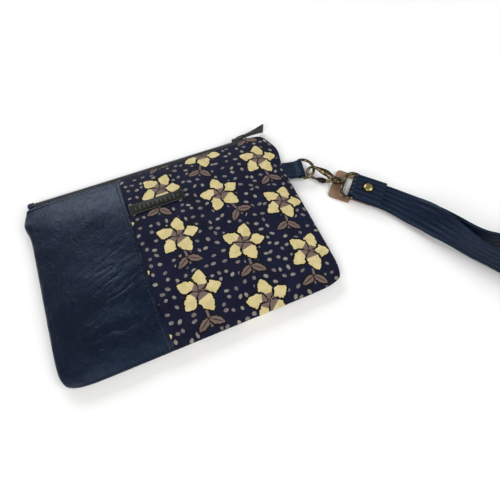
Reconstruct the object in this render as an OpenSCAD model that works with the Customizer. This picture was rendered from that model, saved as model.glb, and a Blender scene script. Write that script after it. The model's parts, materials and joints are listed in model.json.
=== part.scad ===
// Wristlet wallet: a padded zipper pouch, a side tab with a D-ring, a swivel clasp and a wrist strap.
// The pouch lies on its back: X runs along its width, Y up to the zipper and Z out of its front.
// The origin is at the middle of the pouch, on the surface that it rests on.

/* [Pouch] */
// Width of the sewn pouch
pouch_w = 202; // [190:1:230]
// Height of the sewn pouch, without the zipper
pouch_h = 148; // [140:1:170]
// Width of the leather half, from the left side to the seam
leather_w = 73; // [50:1:90]
// Height of the side and bottom seams above the resting surface
seam_z = 5; // [5:0.1:6]
// How far the front swells out above its seams
crown = 6.8; // [5.5:0.1:9]
// Thickness of the outer leather and printed cotton
panel_t = 0.9; // [0.7:0.1:1.2]
// Thickness of the padding in the middle of each side
padding_t = 1.6; // [1:0.1:2]
// Thickness of the lining
lining_t = 0.5; // [0.4:0.1:0.8]

/* [Zipper] */
// Left end of the zipper
zip_left = -94; // [-96:1:-92]
// Right end of the zipper
zip_right = 84; // [82:1:86]
// Middle of the closed slider
slider_x = 78; // [76:1:79]
// Length of the slider
slider_l = 11; // [9:0.5:12]
// Length of the leather pull tab
pull_l = 20; // [15:1:22]
// Angle at which the pull rests off the zipper
pull_rest = 6; // [3:1:10]

/* [Label] */
// Width of the metal label plate
label_w = 43; // [35:1:48]
// Height of the metal label plate
label_h = 9.4; // [8:0.1:11]
// Thickness of the metal label plate
label_t = 0.9; // [0.7:0.1:1.2]

/* [Side tab and D-ring] */
// Width of the leather side tab
tab_w = 16; // [14:0.5:16]
// Thickness of one layer of the side tab
tab_t = 1.25; // [1:0.05:1.5]
// Angle that the side tab leaves the seam at
tab_angle = -12; // [-15:1:-8]
// Thickness of the D-ring's wire
dring_wire = 2.4; // [2:0.1:2.6]
// Radius of the D-ring's bend, to the middle of the wire
dring_r = 9.5; // [9:0.1:10]

/* [Clasp] */
// Direction that the clasp points in
clasp_angle = -46; // [-50:1:-42]
// Tilt of the hook about its own length
hook_tilt = 40; // [38:1:44]
// Half the width of the hook, to the middle of its wire
hook_r = 4.15; // [4.1:0.05:4.5]
// Thickness of the hook's wire at its tip
hook_wire = 2.3; // [2:0.1:2.4]
// Distance from the D-ring's wire to the hook's swivel end
barrel_end = 22.8; // [22:0.1:24]
// Thickness of the swivel ring's wire
ring_wire = 2.4; // [2:0.1:2.5]
// Distance from the D-ring's wire to the bar that holds the strap
bar_x = 36.4; // [36:0.1:38]

/* [Strap] */
// Width of the strap
strap_w = 22; // [20:0.5:22]
// Thickness of the strap, both leathers together
strap_t = 2.3; // [2:0.1:2.3]
// Length of the wrist loop from the bar to its far end
loop_l = 170; // [150:1:180]
// How far the loop opens
loop_spread = 23; // [20:1:30]
// Length of the end that folds back over the bar
flap_l = 23; // [20:1:26]
// Radius of the rivet's cap
rivet_r = 5; // [4:0.1:5.5]

/* [Hidden] */

gap = 0.05;
running = 0.05;
navy = [0.11, 0.15, 0.24];
print_blue = [0.12, 0.13, 0.27];
tan_leather = [0.54, 0.43, 0.34];
bronze = [0.42, 0.36, 0.24];
gunmetal = [0.24, 0.24, 0.22];
black = [0.08, 0.08, 0.09];
grey_lining = [0.30, 0.32, 0.38];

half_w = pouch_w / 2;
half_h = pouch_h / 2;
plan_y = -1;
top_y = plan_y + half_h;
corner_in = 0.045;
seam_u = (leather_w - half_w) / half_w;
mouth_gap = 2.4;
edge_pad = 0.3;
edge_stack = lining_t + panel_t + edge_pad + 2 * gap;
across_leather = 6;
across_fabric = 12;
rows = 16;

leather_us = [for (i = [0:across_leather]) -1 + (seam_u + 1) * i / across_leather];
fabric_us = [for (i = [0:across_fabric]) seam_u + (1 - seam_u) * i / across_fabric];
all_us = concat(leather_us, [for (i = [1:across_fabric]) fabric_us[i]]);
vs = [for (j = [0:rows]) sin(90 * (-1 + 2 * j / rows))];

teeth_y = top_y + 0.6;
teeth_deep = 2;
row_z = 1.7;
tape_t = 0.6;
slider_plate = 1.2;
plate_y = teeth_y + teeth_deep + 0.3;
pin_y = plate_y + slider_plate + 0.95;

bar_radius = dring_wire / 2;
tab_loop_r = bar_radius + running;
tab_pivot = [115, 27.3, seam_z];
dring_neck = 1.5;
hook_at = [
    tab_pivot.x + dring_neck * cos(tab_angle) + dring_r * cos(clasp_angle),
    tab_pivot.y + dring_neck * sin(tab_angle) + dring_r * sin(clasp_angle),
    seam_z
];

pivot_x = 14;
pivot_y = -2.9;
ring_half = 12.7;
ring_near_x = barrel_end + 3.6;
ring_bend = 6.7;
fold_inner = ring_wire / 2 + running;
fold_t = strap_t + 0.1;
rivet_x = bar_x + 9.6;
keeper_left = 17.8;
keeper_right = 52;
keeper_w = 29;
keeper_t = 1.2;

// Points on the pouch

function power(a, n) = pow(abs(a), n);
function plan_at(u, v) = [
    half_w * u * (1 - corner_in * power(v, 8)),
    plan_y + half_h * v * (1 - corner_in * power(u, 8))
];
function dome(u, v, n) = (1 - power(u, n)) * (1 - power(v, n));
function mouth(u, v) = mouth_gap * pow(max(v, 0), 6) * (1 - power(u, 8));
function pad(u, v) = edge_pad + (padding_t - edge_pad) * dome(u, v, 10);
function front_inside(u, v) = seam_z + 0.03 + crown * dome(u, v, 4) + mouth(u, v);
function front_outside(u, v) = front_inside(u, v) + lining_t + pad(u, v) + panel_t + 2 * gap;
function back_outside(u, v) = max(0, (seam_z + 0.07 - edge_stack) * (1 - dome(u, v, 8)) - 0.1 - mouth(u, v));
function back_inside(u, v) = back_outside(u, v) + lining_t + pad(u, v) + panel_t + 2 * gap;
function front_z_at(x, y) = front_outside(x / half_w, (y - plan_y) / half_h);

// A closed sheet over the plan, between two heights
module sheet(us, low, high) {
    n = len(vs);
    layer = len(us) * n;
    points = [
        for (side = [0, 1]) for (u = us) for (v = vs)
            let (p = plan_at(u, v)) [p.x, p.y, side == 0 ? low(u, v) : high(u, v)]
    ];
    last = len(us) - 1;
    floors = [for (i = [0:last - 1]) for (j = [0:n - 2]) let (k = i * n + j) [k, k + n, k + n + 1, k + 1]];
    faces = concat(
        [for (f = floors) for (t = [[f[0], f[1], f[2]], [f[0], f[2], f[3]]]) t],
        [for (f = floors) for (t = [[f[0], f[2], f[1]], [f[0], f[3], f[2]]]) [for (k = t) k + layer]],
        [for (j = [0:n - 2]) for (t = [[j, j + 1, j + 1 + layer], [j, j + 1 + layer, j + layer]]) t],
        [for (j = [0:n - 2]) let (k = last * n + j)
            for (t = [[k, k + layer, k + 1 + layer], [k, k + 1 + layer, k + 1]]) t],
        [for (i = [0:last - 1]) let (k = i * n)
            for (t = [[k, k + layer, k + n + layer], [k, k + n + layer, k + n]]) t],
        [for (i = [0:last - 1]) let (k = i * n + n - 1)
            for (t = [[k, k + n, k + n + layer], [k, k + n + layer, k + layer]]) t]
    );
    polyhedron(points, faces);
}

// Pouch, back half

module back_panel(us) {
    sheet(us, function(u, v) back_outside(u, v), function(u, v) back_outside(u, v) + panel_t);
}

module back_leather_panel() {
    color(navy) back_panel([for (u = leather_us) u == leather_us[across_leather] ? u - gap / half_w : u]);
}

module back_fabric_panel() {
    color(print_blue) back_panel(fabric_us);
}

module back_padding() {
    color("whitesmoke") sheet(
        all_us,
        function(u, v) back_outside(u, v) + panel_t + gap,
        function(u, v) back_outside(u, v) + panel_t + gap + pad(u, v)
    );
}

module back_lining() {
    color(grey_lining) sheet(
        all_us,
        function(u, v) back_inside(u, v) - lining_t,
        function(u, v) back_inside(u, v)
    );
}

// Pouch, front half

module front_panel(us) {
    sheet(us, function(u, v) front_outside(u, v) - panel_t, function(u, v) front_outside(u, v));
}

module front_leather_panel() {
    color(navy) front_panel([for (u = leather_us) u == leather_us[across_leather] ? u - gap / half_w : u]);
}

module front_fabric_panel() {
    color(print_blue) difference() {
        front_panel(fabric_us);
        label_holes();
    }
}

module front_padding() {
    color("whitesmoke") difference() {
        sheet(
            all_us,
            function(u, v) front_inside(u, v) + lining_t + gap,
            function(u, v) front_inside(u, v) + lining_t + gap + pad(u, v)
        );
        label_holes();
    }
}

module front_lining() {
    color(grey_lining) sheet(
        all_us,
        function(u, v) front_inside(u, v),
        function(u, v) front_inside(u, v) + lining_t
    );
}

// Zipper

module tape(side) {
    z = side > 0 ? row_z + gap : -row_z - gap - tape_t;
    translate([zip_left, top_y + 0.1, seam_z + z])
        cube([zip_right + 2 - zip_left, teeth_deep + 0.3, tape_t]);
}

module zipper_tape_back() {
    color(black) tape(-1);
}

module zipper_tape_front() {
    color(black) tape(1);
}

module teeth(side) {
    z = side > 0 ? 0.03 : -row_z;
    left = zip_left + 3;
    right = slider_x + 1.5;
    translate([left, teeth_y, seam_z + z]) cube([right - left, teeth_deep, row_z - 0.03]);
}

module zipper_teeth_back() {
    color(black) teeth(-1);
}

module zipper_teeth_front() {
    color(black) teeth(1);
}

module zipper_bottom_stop() {
    color(gunmetal) translate([zip_left + 0.8, teeth_y - 0.2, seam_z - row_z])
        cube([2, teeth_deep + 0.3, 2 * row_z]);
}

module top_stop(z) {
    translate([zip_right + 0.2, teeth_y, seam_z + z]) cube([1.8, teeth_deep, 1.5]);
}

module zipper_top_stop_back() {
    color(gunmetal) top_stop(-1.6);
}

module zipper_top_stop_front() {
    color(gunmetal) top_stop(0.1);
}

// Folded leather tab over the left end of the zipper
module zipper_end_tab() {
    size = [5.4, 4.8, 4.8];
    fold = 1.2;
    color(navy) translate([zip_left - size.x - 0.1, top_y - 1.6, seam_z - size.z / 2]) difference() {
        cube(size);
        translate([fold, -1, fold]) cube([size.x, size.y - 0.2, size.z - 2 * fold]);
    }
}

// Slider and its pull

module slider_body() {
    wing = 2 * (row_z + tape_t + 0.15) + 1.6;
    left = slider_x - slider_l / 2;
    color(gunmetal) translate([left, 0, seam_z]) {
        translate([0, plate_y, -wing / 2]) cube([slider_l, slider_plate, wing]);
        for (side = [-1, 1]) {
            translate([0, top_y + 1.1, side * (wing / 2 - 0.35) - 0.35])
                cube([slider_l, plate_y - top_y - 1, 0.7]);
        }
        translate([0, top_y - 1.2, -row_z + 0.1]) cube([slider_l, 1.3, 2 * row_z - 0.2]);
        translate([slider_l - 3, top_y, -0.8]) cube([3, plate_y - top_y + 0.1, 1.6]);
        bridge();
    }
}

// Arch that the pull's pin runs under
module bridge() {
    rise = 3.1;
    difference() {
        translate([slider_l / 2, plate_y + slider_plate - 0.6, -0.9]) intersection() {
            cylinder(r = rise, h = 1.8, $fn = 48);
            translate([-rise, 0, 0]) cube([2 * rise, rise, 1.8]);
        }
        translate([slider_l / 2, plate_y + slider_plate, -2]) cylinder(r = 1.75, h = 4, $fn = 48);
    }
}

// Everything on the pull is drawn along X from its pin, then turned to its resting angle
module at_pull() {
    translate([slider_x, pin_y, seam_z]) rotate([0, 0, pull_rest]) children();
}

module pull_link() {
    arm = 6.6;
    color(gunmetal) at_pull() {
        cylinder(r = 0.55, h = 4, center = true, $fn = 32);
        for (side = [-1, 1]) {
            translate([0, 0, side * 2]) rotate([0, 90, 0]) cylinder(r = 0.55, h = arm, $fn = 32);
            translate([0, 0, side * 2]) sphere(r = 0.55, $fn = 32);
            translate([arm, 0, side * 2]) sphere(r = 0.55, $fn = 32);
        }
        translate([arm, 0, 0]) cylinder(r = 0.55, h = 4, center = true, $fn = 32);
    }
}

// Leather tab that widens to its free end, with a loop round the link's far bar
module pull_tab() {
    link_x = 6.6;
    root_w = 3;
    end_w = 9.7;
    color(gunmetal) at_pull() difference() {
        union() {
            translate([link_x, 0, 0]) cylinder(r = 1.2, h = root_w - 0.1, center = true, $fn = 48);
            rotate([90, 0, 0]) translate([0, 0, -0.9]) linear_extrude(1.8) polygon([
                [link_x, -root_w / 2 + 0.05],
                [link_x + 2.5, -root_w / 2 + 0.05],
                [link_x + 5, -root_w],
                [link_x + pull_l, -end_w / 2],
                [link_x + pull_l, end_w / 2],
                [link_x + 5, root_w],
                [link_x + 2.5, root_w / 2 - 0.05],
                [link_x, root_w / 2 - 0.05]
            ]);
        }
        translate([link_x, 0, 0]) cylinder(r = 0.6, h = 8, center = true, $fn = 32);
    }
}

// Thread

stitch_pitch = 3;
stitch_l = 2.2;

module stitch(along_y) {
    size = along_y ? [0.45, stitch_l, 0.4] : [stitch_l, 0.45, 0.4];
    translate([-size.x / 2, -size.y / 2, 0]) cube(size);
}

// Topstitching along the leather's edge at the seam
module seam_stitching() {
    x = leather_w - half_w - 3;
    reach = half_h - 4;
    color(navy) for (y = [plan_y - reach:stitch_pitch:plan_y + reach]) {
        translate([x, y, front_z_at(x, y) + 0.4]) stitch(true);
    }
}

// Topstitching under the zipper, on the leather half
module zipper_stitching() {
    y = top_y - 3.4;
    color(navy) for (x = [-half_w + 10:stitch_pitch:leather_w - half_w - 6]) {
        translate([x, y, front_z_at(x, y) + 0.25]) stitch(false);
    }
}

// Label plate, held by two prongs bent over inside

label_x = leather_w - half_w + 1.2 + label_w / 2;
label_y = 33.6;
prong_reach = label_w / 2 - 5;
prong_r = 0.6;
label_z = front_z_at(label_x, label_y - label_h / 2) + 0.08;

module label_holes() {
    for (side = [-1, 1]) {
        translate([label_x + side * prong_reach, label_y, 8]) cylinder(r = prong_r + 0.05, h = 10, $fn = 32);
    }
}

module label_plate() {
    color(gunmetal) translate([label_x - label_w / 2, label_y - label_h / 2, label_z])
        cube([label_w, label_h, label_t]);
}

module label_prongs() {
    low = front_inside(0, 0.47) + lining_t + 0.2;
    color(gunmetal) for (side = [-1, 1]) {
        translate([label_x + side * prong_reach, label_y, low])
            cylinder(r = prong_r, h = label_z - low, $fn = 32);
    }
}

// Side tab, with the D-ring's bar in its fold

module at_tab() {
    translate(tab_pivot) rotate([0, 0, tab_angle]) children();
}

module side_tab() {
    outer = tab_loop_r + tab_t;
    neck = 4;
    color(navy) difference() {
        at_tab() rotate([90, 0, 0]) translate([0, 0, -tab_w / 2]) difference() {
            union() {
                cylinder(r = outer, h = tab_w, $fn = 64);
                translate([-neck, -outer, 0]) cube([neck, 2 * outer, tab_w]);
                translate([-20, -tab_t, 0]) cube([20 - neck + 0.1, 2 * tab_t, tab_w]);
            }
            translate([0, 0, -1]) cylinder(r = tab_loop_r, h = tab_w + 2, $fn = 64);
        }
        translate([half_w + 0.15 - 40, -50, -5]) cube([40, 120, 20]);
    }
}

module side_tab_stitching() {
    outer = tab_loop_r + tab_t;
    reach = tab_w / 2 - 2;
    color(navy) at_tab() for (side = [-1, 1]) for (x = [-9.5:stitch_pitch:-5]) {
        translate([x, side * reach, tab_t + gap]) stitch(false);
    }
}

module d_ring() {
    color(bronze) at_tab() {
        rotate([90, 0, 0]) cylinder(r = bar_radius, h = 2 * dring_r, center = true, $fn = 48);
        for (side = [-1, 1]) {
            translate([0, side * dring_r, 0]) {
                sphere(r = bar_radius, $fn = 48);
                rotate([0, 90, 0]) cylinder(r = bar_radius, h = dring_neck, $fn = 48);
            }
        }
        translate([dring_neck, 0, 0]) rotate([0, 0, -90]) rotate_extrude(angle = 180, $fn = 96) {
            translate([dring_r, 0]) circle(r = bar_radius, $fn = 48);
        }
    }
}

// Clasp

module at_clasp() {
    translate(hook_at) rotate([0, 0, clasp_angle]) children();
}

module at_hook() {
    at_clasp() rotate([hook_tilt, 0, 0]) children();
}

module along_x(x, r, h) {
    translate([x, 0, 0]) rotate([0, 90, 0]) cylinder(r = r, h = h, $fn = 64);
}

module hook_frame() {
    wire = hook_wire / 2;
    tip_x = -0.8;
    beak_x = 3;
    arm_x = 7.5;
    ear_r = 1.8;
    barrel_x = 16.4;
    color(bronze) at_hook() difference() {
        union() {
            translate([tip_x, 0, 0]) rotate([0, 0, 90]) rotate_extrude(angle = 180, $fn = 96) {
                translate([hook_r, 0]) circle(r = wire, $fn = 40);
            }
            translate([tip_x, -hook_r, 0]) rotate([0, 90, 0])
                cylinder(r = wire, h = beak_x - tip_x, $fn = 40);
            translate([tip_x, hook_r, 0]) rotate([0, 90, 0]) cylinder(r = wire, h = arm_x - tip_x, $fn = 40);
            hull() {
                translate([arm_x, hook_r, 0]) sphere(r = wire, $fn = 32);
                translate([pivot_x, 2.7, 0]) sphere(r = 2, $fn = 32);
            }
            hull() {
                translate([pivot_x, 2.7, 0]) sphere(r = 2, $fn = 32);
                along_x(barrel_x, 3.1, 0.6);
            }
            for (side = [-1, 1]) hull() {
                translate([pivot_x, pivot_y, side * 1.9])
                    cylinder(r = ear_r, h = 0.8, center = true, $fn = 32);
                translate([barrel_x + 0.4, 0, side * 1.9]) cube([0.8, 3, 0.8], center = true);
            }
            along_x(barrel_x, 3.3, barrel_end - barrel_x);
        }
        translate([pivot_x, pivot_y, 0]) cylinder(r = 0.72, h = 8, center = true, $fn = 40);
        along_x(17.4, 2.6, 3.5);
        along_x(20, 1.55, 4);
    }
}

module gate_lever() {
    color(bronze) at_hook() difference() {
        union() {
            translate([pivot_x, pivot_y, -1.3]) cylinder(r = 1.7, h = 1.55, $fn = 48);
            hull() {
                translate([pivot_x - 0.4, pivot_y - 0.1, -1.3]) cylinder(r = 1, h = 1.55, $fn = 32);
                translate([9, -3.9, 0]) sphere(r = 1.05, $fn = 32);
            }
            hull() {
                translate([9, -3.9, 0]) sphere(r = 1.05, $fn = 32);
                translate([4.2, -hook_r, 0]) sphere(r = 1, $fn = 32);
            }
            translate([8.2, -4.7, 0]) sphere(r = 1, $fn = 32);
        }
        translate([pivot_x, pivot_y, 0]) cylinder(r = 0.76, h = 8, center = true, $fn = 40);
    }
}

module gate_pin() {
    color(bronze) at_hook() translate([pivot_x, pivot_y, 0])
        cylinder(r = 0.7, h = 4.6, center = true, $fn = 40);
}

module gate_spring() {
    color("silver") at_hook() for (turn = [0, 1]) {
        translate([pivot_x, pivot_y, 0.79 + 0.45 * turn]) rotate_extrude($fn = 64) {
            translate([1.2, 0]) circle(r = 0.2, $fn = 24);
        }
    }
}

// Post with its head in the barrel, and the ring that the strap folds round
module swivel_ring() {
    wire = ring_wire / 2;
    corner = [ring_near_x + ring_bend, ring_half - ring_bend];
    color(bronze) at_clasp() {
        along_x(18.1, 2.3, 2.5);
        along_x(20, 1.5, barrel_end + 2 - 20);
        along_x(barrel_end + 2, 1.1, ring_near_x - barrel_end - 2);
        along_x(barrel_end + 0.2, 2.2, 2.3);
        translate([ring_near_x, 0, 0]) rotate([90, 0, 0]) {
            cylinder(r = wire, h = 2 * corner.y, center = true, $fn = 48);
        }
        for (side = [-1, 1]) {
            translate([corner.x, side * corner.y, 0]) rotate([0, 0, side > 0 ? 90 : 180]) {
                rotate_extrude(angle = 90, $fn = 96) translate([ring_bend, 0]) circle(r = wire, $fn = 48);
            }
            translate([corner.x, side * ring_half, 0]) rotate([0, 90, 0])
                cylinder(r = wire, h = bar_x - corner.x, $fn = 48);
            translate([bar_x, side * ring_half, 0]) sphere(r = wire, $fn = 48);
        }
        translate([bar_x, 0, 0]) rotate([90, 0, 0])
            cylinder(r = wire, h = 2 * ring_half, center = true, $fn = 48);
    }
}

// Strap

rivet_hole = 1.45;

module rivet_bore() {
    at_clasp() translate([rivet_x, 0, -6]) cylinder(r = rivet_hole, h = 12, $fn = 40);
}

// The strap's end, folded round the bar and back over the loop
module strap_end_fold() {
    outer = fold_inner + fold_t;
    color(navy) difference() {
        at_clasp() translate([bar_x, 0, 0]) rotate([90, 0, 0]) translate([0, 0, -strap_w / 2]) difference() {
            union() {
                cylinder(r = outer, h = strap_w, $fn = 64);
                translate([0, -outer, 0]) cube([flap_l, 2 * outer, strap_w]);
            }
            translate([0, 0, -1]) cylinder(r = fold_inner, h = strap_w + 2, $fn = 64);
            translate([0, -fold_inner, -1]) cube([flap_l + 1, 2 * fold_inner, strap_w + 2]);
        }
        rivet_bore();
    }
}

drift = 8.2;
drift_start = 23;
drift_l = 48;
twist_start = 23;
twist_end = 102;
pair_half = (fold_inner + fold_t / 2) / 2;
strap_lift = 0.15;

function smooth(x) = let (t = min(1, max(0, x))) t * t * (3 - 2 * t);
function twist(s) = 90 * smooth((s - twist_start) / (twist_end - twist_start));
// The near edge of the strap on the table, seen from above, from the bar outwards
function drifted(s) = min(1, max(0, (s - drift_start) / drift_l));
function heading(s) = let (d = drifted(s)) -atan(6 * drift * d * (1 - d) / drift_l);
function edge_at(s) = [bar_x + s, -strap_w / 2 - drift * smooth(drifted(s))];
// Distance along the loop and half of its opening, for t from 0 at its far end to 1 at the bar
function loop_s(t) = loop_l * cos(90 * t);
function loop_open(t) = pair_half + 2 * loop_spread * sin(90 * t) * pow(cos(90 * t), 4);
function across_at(s) = let (h = heading(s), w = twist(s)) [-sin(h) * cos(w), cos(h) * cos(w), sin(w)];
function out_at(s) = let (h = heading(s), w = twist(s)) [sin(h) * sin(w), -cos(h) * sin(w), cos(w)];
function rise_at(s, open) = let (
    flat = pair_half - seam_z + fold_t / 2 + keeper_t + 0.1 + gap,
    free = (open + strap_t / 2) * cos(twist(s)) + strap_lift - seam_z
) flat + (free - flat) * smooth((s - 24) / 22);
// The middle of the strap; side is 1 on the near run and -1 on the far run
function strap_at(t) = let (
    a = abs(t),
    side = t < 0 ? -1 : 1,
    s = loop_s(a),
    open = a < 0.0001 ? 0 : loop_open(a),
    fade = min(1, a / 0.06),
    e = edge_at(s)
) [e.x, e.y, rise_at(s, open)] + across_at(s) * strap_w / 2
    + out_at(s) * side * (open - pair_half * (1 - fade));
function unit(a) = a / norm(a);
function strap_ring(t, low, high, across) = let (
    step = 0.002,
    along = unit(strap_at(t - step) - strap_at(t + step)),
    w = across_at(loop_s(abs(t))),
    out = unit(cross(along, w)),
    c = strap_at(t),
    last = len(across) - 1
) concat(
    [for (x = across) c + w * x + out * low],
    [for (k = [last:-1:0]) c + w * across[k] + out * high]
);

near_end = 1 - asin(1.6 / loop_l) / 90;
far_end = 1 - asin((flap_l + gap) / loop_l) / 90;
strap_steps = 84;
strap_rows = 5;
row_pitch = strap_w / strap_rows;

// A band swept along the strap, without its first and last steps; low and high are off the middle
module strap_band(skip_first, skip_last, low, high, across) {
    steps = strap_steps - skip_first - skip_last;
    step = (near_end + far_end) / strap_steps;
    columns = len(across) - 1;
    n = 2 * (columns + 1);
    e = n * steps;
    rings = [for (i = [0:steps]) strap_ring(-far_end + (i + skip_first) * step, low, high, across)];
    faces = concat(
        [for (k = [0:columns - 1]) let (m = n - 1 - k) each [[k, m - 1, k + 1], [k, m, m - 1]]],
        [for (i = [0:steps - 1]) for (k = [0:n - 1]) let (a = n * i + k, b = n * i + (k + 1) % n)
            each (k <= columns ? [[a, b + n, a + n], [a, b, b + n]] : [[a, b, a + n], [a + n, b, b + n]])],
        [for (k = [0:columns - 1]) let (m = n - 1 - k) each
            [[e + k, e + k + 1, e + m - 1], [e + k, e + m - 1, e + m]]]
    );
    at_clasp() polyhedron([for (r = rings) each r], faces);
}

function row_edges(inset) = [
    for (k = [0:strap_rows])
        (k - strap_rows / 2) * row_pitch + (k == 0 ? inset : k == strap_rows ? -inset : 0)
];

module strap_outer_leather() {
    color(navy) difference() {
        strap_band(0, 0, 0, strap_t / 2, row_edges(0));
        rivet_bore();
    }
}

module strap_inner_leather() {
    color(navy) difference() {
        strap_band(0, 0, -strap_t / 2, -0.06, row_edges(0.3));
        rivet_bore();
    }
}

// Four rows of thread along the outer face of the loop
module strap_stitching() {
    thread = 0.2;
    color(navy) for (row = [-1.5:1:1.5]) {
        strap_band(2, 6, strap_t / 2 + 0.1, strap_t / 2 + 0.25,
            [row * row_pitch - thread, row * row_pitch + thread]);
    }
}

// Tan leather tab under the ring, with a window that shows through the ring
module keeper_tab() {
    z = -seam_z + 0.1;
    window_x = ring_near_x + 1.2;
    color(tan_leather) at_clasp() difference() {
        union() {
            translate([keeper_left, -keeper_w / 2, z]) cube([bar_x - keeper_left, keeper_w, keeper_t]);
            translate([bar_x - 1, -strap_w / 2, z]) cube([keeper_right - bar_x + 1, strap_w, keeper_t]);
        }
        translate([window_x, -10.5, z - 1]) cube([5.2, 21, 4]);
        translate([rivet_x, 0, z - 1]) cylinder(r = rivet_hole, h = 4, $fn = 40);
        translate([rivet_x, 0, z - 1]) cylinder(r = 4.1, h = 1.6, $fn = 64);
    }
}

module rivet_cap() {
    top = fold_inner + fold_t + gap;
    color([0.72, 0.62, 0.38]) at_clasp() translate([rivet_x, 0, top]) difference() {
        rotate_extrude($fn = 96) intersection() {
            translate([0, -4.7]) circle(r = 6.8, $fn = 160);
            square([rivet_r, 3]);
        }
        translate([0, 0, -1]) cylinder(r = 1.42, h = 2.1, $fn = 40);
    }
}

module rivet_post() {
    base = -seam_z + 0.1;
    color(bronze) at_clasp() translate([rivet_x, 0, base]) {
        cylinder(r = 4, h = 0.55, $fn = 64);
        cylinder(r = 1.4, h = fold_inner + fold_t + 1 - base, $fn = 40);
    }
}

back_leather_panel();
back_fabric_panel();
back_padding();
back_lining();
front_leather_panel();
front_fabric_panel();
front_padding();
front_lining();
zipper_tape_back();
zipper_tape_front();
zipper_teeth_back();
zipper_teeth_front();
zipper_bottom_stop();
zipper_top_stop_back();
zipper_top_stop_front();
zipper_end_tab();
slider_body();
pull_link();
pull_tab();
seam_stitching();
zipper_stitching();
label_plate();
label_prongs();
side_tab();
side_tab_stitching();
d_ring();
hook_frame();
gate_lever();
gate_pin();
gate_spring();
swivel_ring();
strap_end_fold();
strap_outer_leather();
strap_inner_leather();
strap_stitching();
keeper_tab();
rivet_cap();
rivet_post();
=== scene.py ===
"""Wristlet wallet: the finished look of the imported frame. Lengths are in millimetres until a mesh is made."""
import json
import math

import bpy
import numpy as np
from mathutils import Matrix, Vector


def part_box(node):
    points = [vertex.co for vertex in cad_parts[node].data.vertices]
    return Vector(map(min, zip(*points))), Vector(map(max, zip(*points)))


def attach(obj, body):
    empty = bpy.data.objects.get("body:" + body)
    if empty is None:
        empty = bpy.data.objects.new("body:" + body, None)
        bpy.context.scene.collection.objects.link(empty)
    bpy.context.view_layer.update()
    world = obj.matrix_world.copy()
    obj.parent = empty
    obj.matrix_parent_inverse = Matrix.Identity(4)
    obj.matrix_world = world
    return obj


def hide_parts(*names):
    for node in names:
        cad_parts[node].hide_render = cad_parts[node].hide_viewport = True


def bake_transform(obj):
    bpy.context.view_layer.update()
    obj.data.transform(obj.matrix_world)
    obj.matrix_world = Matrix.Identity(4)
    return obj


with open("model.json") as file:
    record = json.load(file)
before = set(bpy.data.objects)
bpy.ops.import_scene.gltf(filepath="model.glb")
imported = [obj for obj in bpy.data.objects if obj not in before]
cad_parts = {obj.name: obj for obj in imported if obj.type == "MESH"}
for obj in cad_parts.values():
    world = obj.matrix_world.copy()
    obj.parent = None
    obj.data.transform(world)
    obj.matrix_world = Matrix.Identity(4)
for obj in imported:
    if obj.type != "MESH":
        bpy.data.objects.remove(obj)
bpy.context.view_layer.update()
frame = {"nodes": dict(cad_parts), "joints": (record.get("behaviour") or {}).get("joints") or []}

MM = 0.001
PI = math.pi

# ---------------------------------------------------------------- places, read from the frame

JOINTS = {joint["name"]: joint for joint in frame["joints"]}


def node_box(node):
    """A CAD node's lowest and highest corner."""
    return [np.array(corner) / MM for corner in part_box(node)]


def joint_at(name):
    return np.array(JOINTS[name]["pos_m"]) / MM


def joint_axis(name):
    axis = np.array(JOINTS[name]["axis"], float)
    return axis / np.linalg.norm(axis)


UP = np.array([0.0, 0.0, 1.0])
FABRIC_LOW, FABRIC_HIGH = node_box("front_fabric_panel")
TEETH_LOW, TEETH_HIGH = node_box("zipper_teeth_front")
LABEL_LOW, LABEL_HIGH = node_box("label_plate")
HALF_W = FABRIC_HIGH[0]
TOP_Y = FABRIC_HIGH[1]
# The finished panels stop a little short of the coil, so that it shows
PANEL_TOP = TOP_Y - 2.8
PLAN_Y = (PANEL_TOP + FABRIC_LOW[1]) / 2
HALF_H = (PANEL_TOP - FABRIC_LOW[1]) / 2
SEAM_X = FABRIC_LOW[0]
SEAM_Z = joint_at("mouth_open")[2]
HOOK_AT = joint_at("clasp_swing")
BAR_AT = joint_at("strap_hinge")
TAB_AT = joint_at("d_ring_swing")
PULL_AT = joint_at("pull_swing")
GATE_AT = joint_at("gate_hinge")

# Heights of the pouch's surfaces, as the frame has them
CROWN = 6.8
PAD_RISE = 1.3
SHOULDER = 1.8
MOUTH_GAP = 1.3
EDGE_ROUND = 2.2
PANEL_T = 0.9


class Place:
    """A local frame: an origin and three directions."""

    def __init__(self, origin, x, y, z):
        self.origin = np.array(origin, float)
        self.axes = np.array([x, y, z], float)

    def __call__(self, points):
        return self.origin + np.asarray(points, float) @ self.axes


AT_WORLD = Place([0, 0, 0], [1, 0, 0], [0, 1, 0], UP)
CLASP_X = joint_axis("clasp_swivel")
AT_CLASP = Place(HOOK_AT, CLASP_X, np.cross(UP, CLASP_X), UP)
HOOK_Z = -joint_axis("gate_hinge")
AT_HOOK = Place(HOOK_AT, CLASP_X, np.cross(HOOK_Z, CLASP_X), HOOK_Z)
TAB_Y = -joint_axis("d_ring_swing")
AT_TAB = Place(TAB_AT, np.cross(TAB_Y, UP), TAB_Y, UP)
PULL_REST = math.radians(6)
PULL_X = np.array([math.cos(PULL_REST), math.sin(PULL_REST), 0])
AT_PULL = Place(PULL_AT, PULL_X, np.cross(UP, PULL_X), UP)
BAR_X = float(np.linalg.norm(BAR_AT - HOOK_AT))

# ---------------------------------------------------------------- repeatable noise


def lattice(ix, iy, seed):
    """A fixed value from 0 to 1 for each whole-number point."""
    value = np.sin(ix * 127.1 + iy * 311.7 + seed * 74.7) * 43758.5453
    return value - np.floor(value)


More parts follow.
